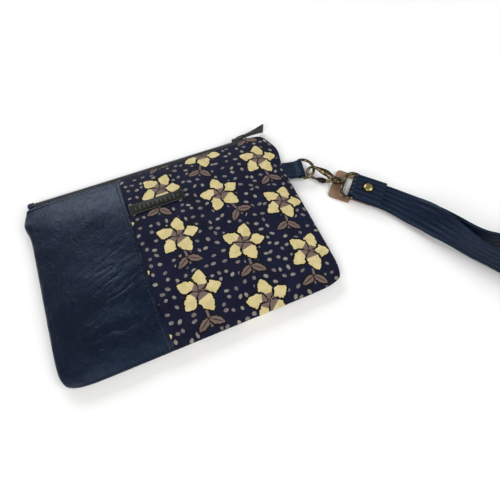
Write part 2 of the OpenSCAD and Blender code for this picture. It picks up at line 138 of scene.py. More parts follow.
def noise(x, y, seed=0):
    """Smooth noise from -1 to 1, with one feature to each unit."""
    ix, iy = np.floor(x), np.floor(y)
    fx, fy = x - ix, y - iy
    fx, fy = fx * fx * (3 - 2 * fx), fy * fy * (3 - 2 * fy)
    low = lattice(ix, iy, seed) * (1 - fx) + lattice(ix + 1, iy, seed) * fx
    high = lattice(ix, iy + 1, seed) * (1 - fx) + lattice(ix + 1, iy + 1, seed) * fx
    return 2 * (low * (1 - fy) + high * fy) - 1


def layered(x, y, octaves=3, seed=0):
    total = sum(noise(x * 2 ** k, y * 2 ** k, seed + k) / 2 ** k for k in range(octaves))
    return total / (2 - 2 ** (1 - octaves))


def creases(x, y, octaves=3, seed=0):
    """Sharp-bottomed folds, from 0 on the flats to 1 in the folds."""
    total = 0
    for k in range(octaves):
        total = total + (1 - np.abs(noise(x * 2 ** k, y * 2 ** k, seed + k))) ** 4 / 2 ** k
    return total / (2 - 2 ** (1 - octaves))


def smooth(x):
    t = np.clip(x, 0, 1)
    return t * t * (3 - 2 * t)


def rounded(distance, reach, least=0.0):
    """Rises like a quarter circle, from an edge to 1 at reach inwards."""
    t = 1 - np.clip(distance / reach, 0, 1)
    return np.sqrt(np.maximum(1 - t * t, least))


def hill(x, y, at_x, at_y, wide, high):
    return np.exp(-((x - at_x) / wide) ** 2 - ((y - at_y) / high) ** 2)


# ---------------------------------------------------------------- shapes: each returns (points, faces)


def combine(*shapes):
    points, faces, count = [], [], 0
    for some_points, some_faces in shapes:
        points.append(np.asarray(some_points, float))
        faces += [tuple(i + count for i in face) for face in some_faces]
        count += len(some_points)
    return np.concatenate(points), faces


def grid_faces(rows, columns, close_rows=False, close_columns=False):
    last_row = rows if close_rows else rows - 1
    last_column = columns if close_columns else columns - 1
    i, j = np.meshgrid(np.arange(last_row), np.arange(last_column), indexing="ij")
    i, j = i.ravel(), j.ravel()
    k, m = (i + 1) % rows, (j + 1) % columns
    return np.stack([i * columns + j, k * columns + j, k * columns + m, i * columns + m], 1).tolist()


def loft(rings, closed=False):
    """Skins a row of closed rings, and caps its two ends unless it closes on itself."""
    rings = np.asarray(rings, float)
    rows, columns = rings.shape[:2]
    faces = grid_faces(rows, columns, closed, True)
    points = rings.reshape(-1, 3)
    if not closed:
        centres = [rings[0].mean(0), rings[-1].mean(0)]
        points = np.concatenate([points, centres])
        first, last = rows * columns, (rows - 1) * columns
        for j in range(columns):
            k = (j + 1) % columns
            faces.append((first, j, k))
            faces.append((first + 1, last + k, last + j))
    return points, faces


def outward(shape):
    """Turns a closed shape's faces to look outwards."""
    points, faces = shape
    volume = 0
    for face in faces:
        a = points[face[0]]
        for j in range(1, len(face) - 1):
            volume += a @ np.cross(points[face[j]], points[face[j + 1]])
    return (points, [tuple(reversed(face)) for face in faces]) if volume < 0 else shape


def tube(path, radius, closed=False, sides=20, place=AT_WORLD):
    """A round bar along a path, with rounded ends. radius is one number or one for each point."""
    path = np.asarray(path, float)
    radius = np.broadcast_to(np.asarray(radius, float), (len(path),)).copy()
    if closed:
        along = np.roll(path, -1, 0) - np.roll(path, 1, 0)
    else:
        first, last = path[1] - path[0], path[-1] - path[-2]
        first, last = first / np.linalg.norm(first), last / np.linalg.norm(last)
        turns = np.linspace(0.12, PI / 2, 5)
        head = [path[0] - first * radius[0] * math.sin(a) for a in turns[::-1]]
        tail = [path[-1] + last * radius[-1] * math.sin(a) for a in turns]
        head_r = [radius[0] * max(math.cos(a), 0.05) for a in turns[::-1]]
        tail_r = [radius[-1] * max(math.cos(a), 0.05) for a in turns]
        path = np.concatenate([head, path, tail])
        radius = np.concatenate([head_r, radius, tail_r])
        along = np.gradient(path, axis=0)
    along /= np.linalg.norm(along, axis=1)[:, None]
    side = np.cross(along[0], [0.31, 0.57, 0.76])
    angles = np.arange(sides) * 2 * PI / sides
    rings = []
    for k, point in enumerate(path):
        side = side - along[k] * (side @ along[k])
        side /= np.linalg.norm(side)
        up = np.cross(along[k], side)
        circle = np.cos(angles)[:, None] * side + np.sin(angles)[:, None] * up
        rings.append(point + radius[k] * circle)
    points, faces = loft(rings, closed)
    return outward((place(points), faces))


def arc(centre, radius, start, end, steps, plane=(0, 1)):
    """Points on an arc; start and end are in degrees."""
    points = np.zeros((steps + 1, 3)) + np.asarray(centre, float)
    angles = np.radians(np.linspace(start, end, steps + 1))
    points[:, plane[0]] += radius * np.cos(angles)
    points[:, plane[1]] += radius * np.sin(angles)
    return points


def lathe(profile, place, axis=0, sides=48):
    """Turns (distance along, radius) points round one of a place's directions."""
    angles = np.arange(sides) * 2 * PI / sides
    others = [k for k in range(3) if k != axis]
    rings = np.zeros((len(profile), sides, 3))
    for k, (along, radius) in enumerate(profile):
        rings[k, :, axis] = along
        rings[k, :, others[0]] = max(radius, 0.01) * np.cos(angles)
        rings[k, :, others[1]] = max(radius, 0.01) * np.sin(angles)
    points, faces = loft(rings)
    return outward((place(points), faces))


def soft_box(low, high, bevel=0.3):
    """A box with rounded edges: a rounded-rectangle ring lofted up with rounded ends."""
    low, high = np.asarray(low, float), np.asarray(high, float)
    half, middle = (high - low) / 2, (high + low) / 2
    bevel = min(bevel, 0.98 * half.min())
    turns = np.linspace(0, PI / 2, 4)
    rings = []
    levels = [(-half[2] + bevel * (1 - math.sin(a)), bevel * (1 - math.cos(a))) for a in turns[::-1]]
    levels += [(half[2] - bevel * (1 - math.sin(a)), bevel * (1 - math.cos(a))) for a in turns]
    for z, inset in levels:
        ring = []
        for sx, sy, start in [(1, 1, 0), (-1, 1, PI / 2), (-1, -1, PI), (1, -1, 1.5 * PI)]:
            for a in turns:
                radius = bevel - inset
                x = sx * (half[0] - bevel) + radius * math.cos(start + a)
                y = sy * (half[1] - bevel) + radius * math.sin(start + a)
                ring.append([x, y, z])
        rings.append(ring)
    return outward(loft(np.array(rings) + middle))


def ribbon(middle, across, outwards, profile):
    """Sweeps a closed cross-section of (across, out) points along a row of frames."""
    profile = np.asarray(profile, float)
    rings = middle[:, None] + across[:, None] * profile[None, :, :1] + outwards[:, None] * profile[None, :, 1:]
    return outward(loft(rings))


def stitch(at, along, out, length, width=0.42, place=AT_WORLD):
    """One stitch of thread that dips into the leather at both ends."""
    at, along, out = np.asarray(at, float), np.asarray(along, float), np.asarray(out, float)
    t = np.linspace(-1, 1, 7)
    path = at + along * (t * length / 2)[:, None] + out * (0.16 - 0.42 * t ** 4)[:, None]
    return tube(path, width / 2 * (1 - 0.35 * t ** 4), sides=8, place=place)


# ---------------------------------------------------------------- paint


def tint(red, green, blue):
    """A display colour of 0 to 255, as the shader's linear colour."""
    values = [c / 255 for c in (red, green, blue)]
    return tuple(c / 12.92 if c <= 0.04045 else ((c + 0.055) / 1.055) ** 2.4 for c in values) + (1.0,)


class Paint:
    """Builds one material's nodes. A value may be a number, a colour or another node's socket."""

    def __init__(self, name, roughness=0.5, metallic=0.0, **constants):
        self.material = bpy.data.materials.new(name)
        self.material.use_nodes = True
        self.tree = self.material.node_tree
        self.tree.nodes.clear()
        output = self.tree.nodes.new("ShaderNodeOutputMaterial")
        self.shader = self.tree.nodes.new("ShaderNodeBsdfPrincipled")
        self.tree.links.new(self.shader.outputs[0], output.inputs[0])
        self.finish("Roughness", roughness)
        self.finish("Metallic", metallic)
        for key, value in constants.items():
            self.finish(key.replace("_", " "), value)

    def put(self, socket, value):
        if isinstance(value, bpy.types.NodeSocket):
            self.tree.links.new(value, socket)
        else:
            socket.default_value = value

    def finish(self, key, value):
        self.put(self.shader.inputs[key], value)

    def add(self, kind, inputs=(), **settings):
        node = self.tree.nodes.new(kind)
        for key, value in settings.items():
            setattr(node, key, value)
        for key, value in dict(inputs).items():
            self.put(node.inputs[key], value)
        return node

    def math(self, operation, a, b=0.0):
        return self.add("ShaderNodeMath", {0: a, 1: b}, operation=operation).outputs[0]

    def times(self, a, b):
        return self.math("MULTIPLY", a, b)

    def plus(self, a, b):
        return self.math("ADD", a, b)

    def minus(self, a, b):
        return self.math("SUBTRACT", a, b)

    def above(self, value, edge, soft=0.08):
        """1 where value is above edge, 0 below, with a soft step."""
        if isinstance(edge, (int, float)):
            low, high = edge - soft, edge + soft
        else:
            low, high = self.minus(edge, soft), self.plus(edge, soft)
        inputs = {0: value, 1: low, 2: high}
        return self.add("ShaderNodeMapRange", inputs, interpolation_type="SMOOTHSTEP").outputs[0]

    def spread(self, value, low, high, to_low=0.0, to_high=1.0):
        inputs = {0: value, 1: low, 2: high, 3: to_low, 4: to_high}
        return self.add("ShaderNodeMapRange", inputs).outputs[0]

    def mix(self, factor, a, b):
        return self.add("ShaderNodeMix", {0: factor, 6: a, 7: b}, data_type="RGBA").outputs[2]

    def place(self, stretch=(1, 1, 1), turn=(0, 0, 0)):
        """The point on the object in millimetres, turned and then divided by stretch."""
        here = self.add("ShaderNodeTexCoord").outputs["Object"]
        inputs = {0: here, 2: [math.radians(a) for a in turn], 3: [1 / (MM * s) for s in stretch]}
        return self.add("ShaderNodeMapping", inputs, vector_type="POINT").outputs[0]

    def noise(self, size, detail=3.0, where=None, roughness=0.5, distortion=0.0):
        where = where or self.place()
        inputs = {"Vector": where, "Scale": 1 / size, "Detail": detail, "Roughness": roughness}
        inputs["Distortion"] = distortion
        return self.add("ShaderNodeTexNoise", inputs).outputs["Fac"]

    def cells(self, size, feature="F1"):
        inputs = {"Vector": self.place(), "Scale": 1 / size}
        return self.add("ShaderNodeTexVoronoi", inputs, feature=feature).outputs["Distance"]

    def attribute(self, name):
        return self.add("ShaderNodeAttribute", attribute_name=name).outputs["Fac"]

    def bump(self, height, depth, below=None):
        """Raises the surface by depth millimetres where height is 1."""
        inputs = {"Height": height, "Distance": depth * MM, "Strength": 1.0}
        if below is not None:
            inputs["Normal"] = below
        return self.add("ShaderNodeBump", inputs).outputs[0]


NIGHT = (0.42, 0.64, 1.0, 1.0)
PLAIN = (1.0, 1.0, 1.0, 1.0)


def leather_paint(name, colour, dark, pale, grain=1.0, rough=(0.36, 0.5), crease=0.12, coat=0.12, sheen=NIGHT):
    """Grained leather: pebbled grain, finer pores, soft creases, and colour that pales in scattered patches."""
    p = Paint(name, Specular_IOR_Level=0.31, Specular_Tint=sheen)
    for key, value in (("Coat Tint", sheen), ("Coat Weight", coat), ("Coat Roughness", 0.35)):
        p.finish(key, value)
    pebbles = p.cells(1.15 * grain, "DISTANCE_TO_EDGE")
    pebble = p.spread(pebbles, 0.0, 0.22)
    pores = p.noise(0.45 * grain, 4.0)
    fold = p.noise(9.0, 4.0, p.place((1, 2.6, 1), (0, 0, 24)), 0.62, 0.6)
    folds = p.math("ABSOLUTE", p.minus(fold, 0.5))
    fold_line = p.spread(folds, 0.0, 0.05)
    patch = p.noise(26.0, 3.0)
    mottled = p.mix(p.spread(patch, 0.32, 0.68), dark, colour)
    worn = p.times(p.spread(p.noise(3.2, 5.0), 0.52, 0.72), 0.35)
    p.finish("Base Color", p.mix(worn, mottled, pale))
    p.finish("Roughness", p.spread(p.noise(5.0, 4.0), 0.3, 0.7, rough[0], rough[1]))
    fine = p.noise(3.4, 4.0, p.place((1, 2.0, 1), (0, 0, 24)), 0.6, 0.8)
    crackle = p.spread(p.math("ABSOLUTE", p.minus(fine, 0.5)), 0.0, 0.06)
    crackled = p.times(crackle, p.spread(p.noise(13.0, 2.0), 0.4, 0.62))
    low = p.bump(crackled, 0.45 * crease, p.bump(fold_line, crease))
    middle = p.bump(pebble, 0.05 * grain, low)
    p.finish("Normal", p.bump(pores, 0.05 * grain, middle))
    return p.material


def woven(p, pitch, depth):
    """Plain weave: the over-and-under of two sets of threads."""
    where = p.add("ShaderNodeSeparateXYZ", {0: p.place()}).outputs
    a = p.math("SINE", p.times(where[0], 2 * PI / pitch))
    b = p.math("SINE", p.times(where[1], 2 * PI / pitch))
    weave = p.plus(p.times(p.times(a, b), 0.5), 0.5)
    fuzz = p.noise(pitch * 0.8, 2.0)
    return p.bump(p.plus(p.times(weave, 0.7), p.times(fuzz, 0.5)), depth), weave


def cotton_print_paint():
    """Printed cotton: flowers, stems and flecks drawn from distances kept on the mesh."""
    p = Paint("printed_cotton", Sheen_Weight=0.02, Specular_IOR_Level=0.16)
    wobble = p.times(p.minus(p.noise(1.5, 3.0), 0.5), 1.3)
    blot = p.noise(5.5, 3.0)
    edge = p.plus(p.attribute("edge"), wobble)
    mid, along, tone = (p.attribute(key) for key in ("mid", "along", "tone"))
    stem = p.plus(p.attribute("stem"), p.times(wobble, 0.45))
    fleck = p.plus(p.attribute("fleck"), p.times(wobble, 0.5))
    navy, navy_dark, black = tint(14, 18, 46), tint(8, 11, 32), tint(8, 8, 12)
    taupe, cream, honey = tint(112, 95, 88), tint(212, 197, 148), tint(196, 180, 126)

    colour = p.mix(p.spread(p.noise(14.0, 3.0), 0.3, 0.7), navy_dark, navy)
    fleck_colour = p.mix(p.spread(p.noise(9.0, 1.0), 0.42, 0.58), tint(108, 102, 102), tint(138, 133, 124))
    colour = p.mix(p.above(fleck, 0.0, 0.14), colour, fleck_colour)
    colour = p.mix(p.above(p.times(stem, -1.0), -0.8, 0.1), colour, taupe)
    colour = p.mix(p.above(edge, -0.8), colour, black)
    petal = p.mix(p.spread(blot, 0.35, 0.68), honey, cream)
    petal = p.mix(p.above(p.minus(4.0, along), 0.0, 0.4), petal, taupe)
    leaf = p.mix(p.above(p.minus(0.14, mid), 0.0, 0.03), taupe, tint(46, 38, 44))
    colour = p.mix(p.above(edge, 0.3), colour, p.mix(tone, petal, leaf))

    normal, weave = woven(p, 0.52, 0.035)
    # The weave also scales the colour, darker in the threads' dips and lighter on their crossings: painted
    # shade and highlight
    thread = p.spread(weave, 0.0, 1.0, 0.9, 1.04)
    shade = p.add("ShaderNodeVectorMath", {0: colour, 3: thread}, operation="SCALE").outputs[0]
    p.finish("Base Color", shade)
    p.finish("Roughness", p.spread(blot, 0.3, 0.7, 0.72, 0.86))
    p.finish("Normal", normal)
    return p.material


def cloth_paint(name, colour, shade):
    p = Paint(name, roughness=0.9, Sheen_Weight=0.2, Specular_IOR_Level=0.2)
    normal, weave = woven(p, 0.5, 0.05)
    # The darker shade tint shows where the weave dips and where the noise is low: painted shade between the
    # threads, with random tone
    p.finish("Base Color", p.mix(p.times(weave, p.spread(p.noise(4.0, 4.0), 0.2, 0.8)), shade, colour))
    p.finish("Normal", normal)
    return p.material


def fleece_paint():
    p = Paint("fleece_padding", roughness=0.95, Sheen_Weight=0.4, Specular_IOR_Level=0.1)
    tufts = p.noise(1.6, 5.0, distortion=1.0)
    # Tufts are greyer where they are low: painted shade between them
    p.finish("Base Color", p.mix(tufts, tint(196, 194, 186), tint(238, 236, 230)))
    p.finish("Normal", p.bump(tufts, 0.4))
    return p.material


def tape_paint():
    """Zipper tape: ribs that run along it, crossed by a fine twill."""
    p = Paint("zipper_tape", roughness=0.82, Sheen_Weight=0.25, Specular_IOR_Level=0.25)
    where = p.add("ShaderNodeSeparateXYZ", {0: p.place()}).outputs
    ribs = p.math("SINE", p.times(p.plus(where[1], where[2]), 2 * PI / 0.8))
    twill = p.math("SINE", p.times(where[0], 2 * PI / 0.62))
    height = p.plus(p.times(ribs, 0.3), p.times(twill, 0.3))
    # Colour is darker in the dips between ribs and twill and lighter on their tops: painted shade and highlight
    p.finish("Base Color", p.mix(p.spread(height, -0.5, 0.5), tint(14, 15, 16), tint(32, 34, 35)))
    p.finish("Normal", p.bump(height, 0.12))
    return p.material


def metal_paint(name, bright, dark, rough, wear=0.5):
    """Aged metal: bright where it is rubbed, dark in the patches that keep their patina."""
    p = Paint(name, metallic=1.0)
    patina = p.noise(1.7, 5.0, roughness=0.65)
    rubbed = p.spread(patina, wear - 0.14, wear + 0.14)
    p.finish("Base Color", p.mix(rubbed, dark, bright))
    p.finish("Roughness", p.spread(rubbed, 0.0, 1.0, rough[1], rough[0]))
    p.finish("Normal", p.bump(p.noise(0.5, 4.0), 0.018))
    return p.material


def thread_paint(name, colour):
    p = Paint(name, roughness=0.62, Sheen_Weight=0.3, Specular_IOR_Level=0.35)
    twist = p.noise(0.35, 2.0)
    # Colour darkens where the twist is low: painted shade in its grooves
    p.finish("Base Color", p.mix(twist, tuple(0.55 * c for c in colour[:3]) + (1.0,), colour))
    p.finish("Normal", p.bump(twist, 0.06))
    return p.material


def rivet_paint():
    """A cap polished on its dome and dark round its rim."""
    p = Paint("bright_brass", metallic=1.0)
    rim = p.spread(p.attribute("rim"), 0.64, 0.78)
    patina = p.noise(0.9, 4.0)
    dome = p.mix(p.spread(patina, 0.3, 0.7), tint(150, 132, 86), tint(202, 186, 134))
    p.finish("Base Color", p.mix(rim, dome, tint(38, 34, 26)))
    p.finish("Roughness", p.spread(rim, 0.0, 1.0, 0.34, 0.5))
    p.finish("Normal", p.bump(p.noise(0.5, 4.0), 0.02))
    return p.material


def label_paint():
    """A dark plate whose raised border and bars are rubbed bright."""
    p = Paint("label_metal", metallic=1.0)
    streaks = p.noise(0.7, 3.0, p.place((9, 1, 1)))
    plate = p.mix(streaks, tint(34, 36, 34), tint(52, 54, 51))
    p.finish("Base Color", p.mix(p.attribute("raised"), plate, tint(78, 79, 72)))
    p.finish("Roughness", p.spread(streaks, 0.0, 1.0, 0.5, 0.36))
    p.finish("Normal", p.bump(streaks, 0.02))
    return p.material


# Leathers: colour, dark and pale tints, grain, roughness, crease depth, coat, and the sheen's tint
LEATHERS = {
    "navy_leather": (tint(3, 10, 30), tint(2, 7, 21), tint(10, 20, 43), 1.0, (0.33, 0.46), 0.14, 0.12),
    "strap_leather": (tint(9, 22, 42), tint(5, 14, 31), tint(22, 39, 59), 0.8, (0.40, 0.52), 0.06, 0.08),
    "grey_leather": (tint(54, 54, 55), tint(42, 42, 44), tint(72, 72, 73), 0.7, (0.5, 0.62), 0.05, 0.04, PLAIN),
    "tan_leather": (
        tint(150, 119, 94), tint(130, 102, 80), tint(168, 138, 113), 0.6, (0.6, 0.75), 0.05, 0.0, PLAIN
    ),
}
# Metals: rubbed and dark tints, roughness, and how much keeps its patina
METALS = {
    "gunmetal": (tint(88, 88, 84), tint(38, 38, 35), (0.3, 0.48), 0.52),
    "antique_brass": (tint(154, 138, 106), tint(38, 35, 28), (0.24, 0.46), 0.56),
    # The gate's brass: the hook's antique brass darkened, as painted shade on a gate that lies in shade
    "brass_in_painted_shade": (tint(98, 90, 76), tint(26, 25, 25), (0.26, 0.46), 0.6),
    "spring_steel": (tint(180, 180, 176), tint(120, 120, 116), (0.2, 0.35)),
}
PAINTS = {name: leather_paint(name, *values) for name, values in LEATHERS.items()}
PAINTS.update({name: metal_paint(name, *values) for name, values in METALS.items()})
PAINTS.update({
    "printed_cotton": cotton_print_paint(),
    "lining_cotton": cloth_paint("lining_cotton", tint(86, 92, 108), tint(58, 63, 80)),
    "fleece_padding": fleece_paint(),
    "zipper_tape": tape_paint(),
    "zipper_coil": thread_paint("zipper_coil", tint(38, 40, 41)),
    "navy_thread": thread_paint("navy_thread", tint(9, 16, 31)),
    "label_metal": label_paint(),
    "bright_brass": rivet_paint(),
})

# ---------------------------------------------------------------- pieces


def piece(name, shape, paint, body, replaced=(), sharp=40, values=None):
    """Makes a mesh piece that stands for its CAD nodes. It rides on a body when body is a name; otherwise it is
    baked in place without a body.
    """
    points, faces = shape
    mesh = bpy.data.meshes.new(name)
    mesh.from_pydata((np.asarray(points) * MM).tolist(), [], faces)
    mesh.update()
    mesh.shade_smooth()
    mesh.set_sharp_from_angle(angle=math.radians(sharp))
    for key, numbers in (values or {}).items():
        mesh.attributes.new(key, "FLOAT", "POINT").data.foreach_set("value", np.asarray(numbers, np.float32))
    mesh.materials.append(PAINTS[paint])
    made = bpy.data.objects.new(name, mesh)
    bpy.context.scene.collection.objects.link(made)
    if replaced:
        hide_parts(*replaced)
    if isinstance(body, str):
        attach(made, body)
    else:
        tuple(body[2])
        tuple(body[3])
        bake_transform(made)
    return made


def keep(node, paint):
    """A CAD node whose shape is right keeps it and gets its finish."""
    made = frame["nodes"][node]
    if not made.material_slots:
        made.data.materials.append(PAINTS[paint])
    for slot in made.material_slots:
        slot.material = PAINTS[paint]


# The front swings open as a mouth: it lifts in the middle and stays sewn at both side seams
LIFT_FROM, LIFT_TO = SEAM_X - 2, 20.0
# The open slider still holds the two sides together over this far from the left seam
SLIDER_STOPS = 21.0
LEFT_LIFT = ("pouch_back", "pouch_front", ((SLIDER_STOPS - HALF_W) * MM, 0, 0), (LIFT_FROM * MM, 0, 0))
RIGHT_LIFT = ("pouch_front", "pouch_back", (LIFT_TO * MM, 0, 0), (HALF_W * MM, 0, 0))

# ---------------------------------------------------------------- pouch surfaces

# How far each corner is rounded in: (left or right, bottom or top)
CORNERS = {(-1, -1): 0.044, (1, -1): 0.038, (-1, 1): 0.010, (1, 1): 0.034}
RIGHT_BULGE, LEFT_BULGE = 4.6, 3.2


def plan(u, v):
    """The pouch seen from above, for u and v from -1 to 1."""
    cut = sum(c * (1 + sx * u) * (1 + sy * v) / 4 for (sx, sy), c in CORNERS.items())
    x = HALF_W * u * (1 - cut * np.abs(v) ** 12)
    y = PLAN_Y + HALF_H * v * (1 - cut * (HALF_W / HALF_H) * np.abs(u) ** 16)
    x = x + RIGHT_BULGE * np.exp(-((y - 53) / 13) ** 2) * np.clip(u, 0, 1) ** 7
    x = x - LEFT_BULGE * np.exp(-((y - 57) / 10) ** 2) * np.clip(-u, 0, 1) ** 7
    y = y + (TOP_Y - PANEL_TOP) * smooth((HALF_W * u - 76) / 14) * np.clip(v, 0, 1) ** 5
    return x, y


def dome(u, v, power):
    return (1 - np.abs(u) ** power) * (1 - np.abs(v) ** power)


def rounding(u, v):
    """0 on the side and bottom seams, and 1 a little way in from them."""
    return rounded(HALF_W * (1 - np.abs(u)), EDGE_ROUND) * rounded(HALF_H * (1 + v), EDGE_ROUND)


def mouth(u, v):
    return MOUTH_GAP * np.clip(v, 0, 1) ** 6 * (1 - np.abs(u) ** 8)


def puckers(u, v, seed):
    """Small gathers that run in from the side and bottom seams."""
    side, bottom = HALF_W * (1 - np.abs(u)), HALF_H * (1 + v)
    x, y = HALF_W * u, HALF_H * v
    from_side = np.exp(-side / 6) * noise(y / 6.5 + 31 * np.sign(u), side / 14, seed)
    from_bottom = np.exp(-bottom / 6) * noise(x / 6.5, bottom / 14 + 7, seed)
    return 0.55 * (from_side + from_bottom)


def front_height(u, v):
    base = SEAM_Z + 0.04 + SHOULDER * rounding(u, v) + mouth(u, v)
    return base + CROWN * dome(u, v, 4) + PAD_RISE * dome(u, v, 10)


def back_height(u, v):
    rise = SEAM_Z - 0.04 - SHOULDER * rounding(u, v) - 3.3 * dome(u, v, 8) - mouth(u, v)
    return np.maximum(rise, 0.02)


def leather_relief(x, y, u, v):
    """Folds and slack of the leather, with the ridge that it is topstitched along."""
    rest = rounding(u, v)
    slack = 0.5 * layered(x / 34, y / 27, 2, 3) + 0.22 * layered(x / 11, y / 9, 2, 5)
    turned = x * 0.94 + y * 0.34
    across = y * 0.94 - x * 0.34
    lower = hill(x, y, -52, -40, 28, 22) + 0.45 * hill(x, y, -42, -4, 20, 24)
    fine = creases(turned / 13 + 0.3 * layered(x / 9, y / 9, 2, 8), across / 5.5, 3, 11)
    broad = creases(turned / 30, across / 13, 2, 21)
    folds = -lower * (0.85 * fine + 0.5 * broad)
    dent = -2.3 * hill(x, y, -50, -46, 27, 8) + 0.7 * hill(x, y, -50, -33, 26, 7)
    belly = 2.3 * hill(x, y, -52, -24, 44, 21) + 1.5 * hill(x, y, -52, 47, 40, 21)
    belly = belly * smooth((SEAM_X - 2 - x) / 20)
    from_seam = SEAM_X - x
    ridge = 0.5 * smooth(1 - (from_seam - 2.2) / 1.6) * smooth(from_seam / 0.5 + 0.4)
    groove = -0.34 * np.exp(-((from_seam - 3.0) / 0.5) ** 2)
    from_top = PANEL_TOP - y
    hem = 0.3 * smooth(1 - (from_top - 2.8) / 1.4) - 0.3 * np.exp(-((from_top - 3.4) / 0.5) ** 2)
    hem = hem * smooth((SEAM_X - 4 - x) / 3)
    wave = 0.35 * noise(x / 9, 4.0, 15) * smooth(1 - from_top / 9)
    return (slack + folds + dent + belly + wave) * rest + ridge + groove + hem + puckers(u, v, 2) * rest


def fabric_relief(x, y, u, v):
    """Slack of the cotton, drawn down where it meets the leather."""
    rest = rounding(u, v)
    slack = 0.42 * layered(x / 30, y / 26, 2, 31) + 0.16 * layered(x / 10, y / 12, 2, 33)
    drawn = -0.35 * np.exp(-np.abs(x - SEAM_X) / 1.2)
    pulls = -0.55 * hill(x, y, 84, 26, 16, 9) + 0.5 * hill(x, y, 88, 45, 14, 9)
    low = -0.8 * hill(x, y, 25, -58, 60, 8) + 0.5 * hill(x, y, 40, -40, 60, 10)
    from_top = PANEL_TOP - y
    wave = 0.3 * noise(x / 12, 2.0, 17) * smooth(1 - from_top / 9)
    under_label = -0.25 * hill(x, y, (LABEL_LOW[0] + LABEL_HIGH[0]) / 2, LABEL_LOW[1] + 4, 26, 7)
    return (slack + pulls + low + wave + under_label) * rest + drawn + puckers(u, v, 4) * rest


def back_relief(x, y, u, v):
    lift = 1 - dome(u, v, 8)
    slack = 0.35 * np.abs(layered(x / 22, y / 18, 3, 41)) * rounding(u, v)
    return slack * (0.35 + lift) + 0.3 * np.exp(-np.abs(x - SEAM_X) / 1.0)


def stations(low, high, step, low_edge, high_edge, reach):
    """Evenly spaced values, closer together next to a rounded edge."""
    even = np.linspace(low, high, int(math.ceil((high - low) / step)) + 1)
    close = np.array([0.03, 0.1, 0.22, 0.4]) * EDGE_ROUND / reach
    extra = [low + close] if low_edge else []
    extra += [high - close] if high_edge else []
    return np.unique(np.concatenate([even] + extra))


# The top edge is turned in: angles of its fold in degrees, then how far it tucks under
HEM_TURNS = np.radians([25, 60, 95, 130, 165, 180])
HEM_TUCKS = (1.5, 3.5)


def panel_grid(u_low, u_high, step, height, relief, side):
    """A panel's points on a grid, its top edge turned in to the mouth."""
    us = stations(u_low, u_high, step / HALF_W, u_low == -1, u_high == 1, HALF_W)
    vs = stations(-1, 1, step / HALF_H, True, False, HALF_H)
    u, v = np.meshgrid(us, vs, indexing="ij")
    x, y = plan(u, v)
    z = height(u, v) + relief(x, y, u, v)
    rows = [np.stack([x, y, z], 2)]
    edge = rows[0][:, -1]
    fold = PANEL_T * np.clip(HALF_W * (1 - np.abs(us)) / 3, 0.15, 1)
    for a in HEM_TURNS:
        lip = edge + np.stack([0 * fold, fold * math.sin(a), -side * fold * (1 - math.cos(a))], 1)
        rows.append(lip[:, None])
    for tuck in HEM_TUCKS:
        inner = edge + np.stack([0 * fold, -tuck + 0 * fold, -side * 2 * fold], 1)
        rows.append(inner[:, None])
    return np.concatenate(rows, 1)


def grid_shape(points, flip=False):
    rows, columns = points.shape[:2]
    faces = grid_faces(rows, columns)
    if flip:
        faces = [tuple(reversed(face)) for face in faces]
    return points.reshape(-1, 3), faces


# ---------------------------------------------------------------- the print's drawing

# A plain half-drop repeat: a five-petal flower on a straight stem with two leaves, each turned a little
REPEAT_X, REPEAT_Y = 42.0, 46.0
PETAL_L, PETAL_HALF = 15.0, 5.6
LEAF_L, LEAF_HALF = 11.0, 3.0
STEM_L, LEAF_AT, LEAF_SPREAD = 24.0, 19.0, 1.0
FLECK_PITCH = 6.9
# The back's print is the front's, mirrored and moved by these
MIRROR_X, MIRROR_Y = 74, 4


def petal_field(x, y, base, tip, wide):
    """Distance inside a petal's outline, how far along it a point is, and how far off its midrib."""
    base, tip = np.array(base, float), np.array(tip, float)
    length = np.linalg.norm(tip - base)
    ex, ey = (tip - base) / length
    s = ((x - base[0]) * ex + (y - base[1]) * ey) / length
    t = (y - base[1]) * ex - (x - base[0]) * ey
    inside = np.clip(s, 0, 1)
    ruffle = 1 + 0.06 * np.sin(21 * inside + base[0]) + 0.04 * np.sin(47 * inside + base[1])
    half = wide * np.sin(PI * inside ** 0.84) ** 0.66 * (0.98 - 0.08 * inside) * ruffle
    past = np.maximum(np.maximum(-s, s - 1), 0) * length
    distance = 0.82 * (half - np.abs(t))
    distance = np.where(past > 0, -np.hypot(past, t), distance)
    return distance, s * length, np.clip(np.abs(t) / np.maximum(half, 0.5), 0, 2)


def ray(angle):
    """A step of 1 mm towards an angle."""
    return np.array([math.cos(angle), math.sin(angle)])


def sprigs():
    """Every petal and leaf as base, tip, half width and 1 for a leaf, and every stem as its two ends."""
    petals, stems = [], []
    for i in range(-1, 4):
        for j in range(-3, 4):
            centre = np.array([i * REPEAT_X, (j + 0.5 * (i % 2)) * REPEAT_Y])
            turn = 0.8 * (float(lattice(i, j, 11)) - 0.5)
            down = turn - PI / 2
            stems.append((centre, centre + STEM_L * ray(down)))
            foot = centre + LEAF_AT * ray(down)
            for side in (-1, 1):
                petals.append((foot, foot + LEAF_L * ray(down + side * LEAF_SPREAD), LEAF_HALF, 1))
            for k in range(5):
                out = ray(turn + 2 * PI * k / 5)
                petals.append((centre + out, centre + (1 + PETAL_L) * out, PETAL_HALF, 0))
    return petals, stems


def stem_field(x, y, stems):
    """Distance to the nearest stem."""
    nearest = np.full(x.shape, 60.0)
    for a, b in stems:
        length = np.linalg.norm(b - a)
        ex, ey = (b - a) / length
        s = np.clip((x - a[0]) * ex + (y - a[1]) * ey, 0, length)
        nearest = np.minimum(nearest, np.hypot(x - a[0] - s * ex, y - a[1] - s * ey))
    return nearest


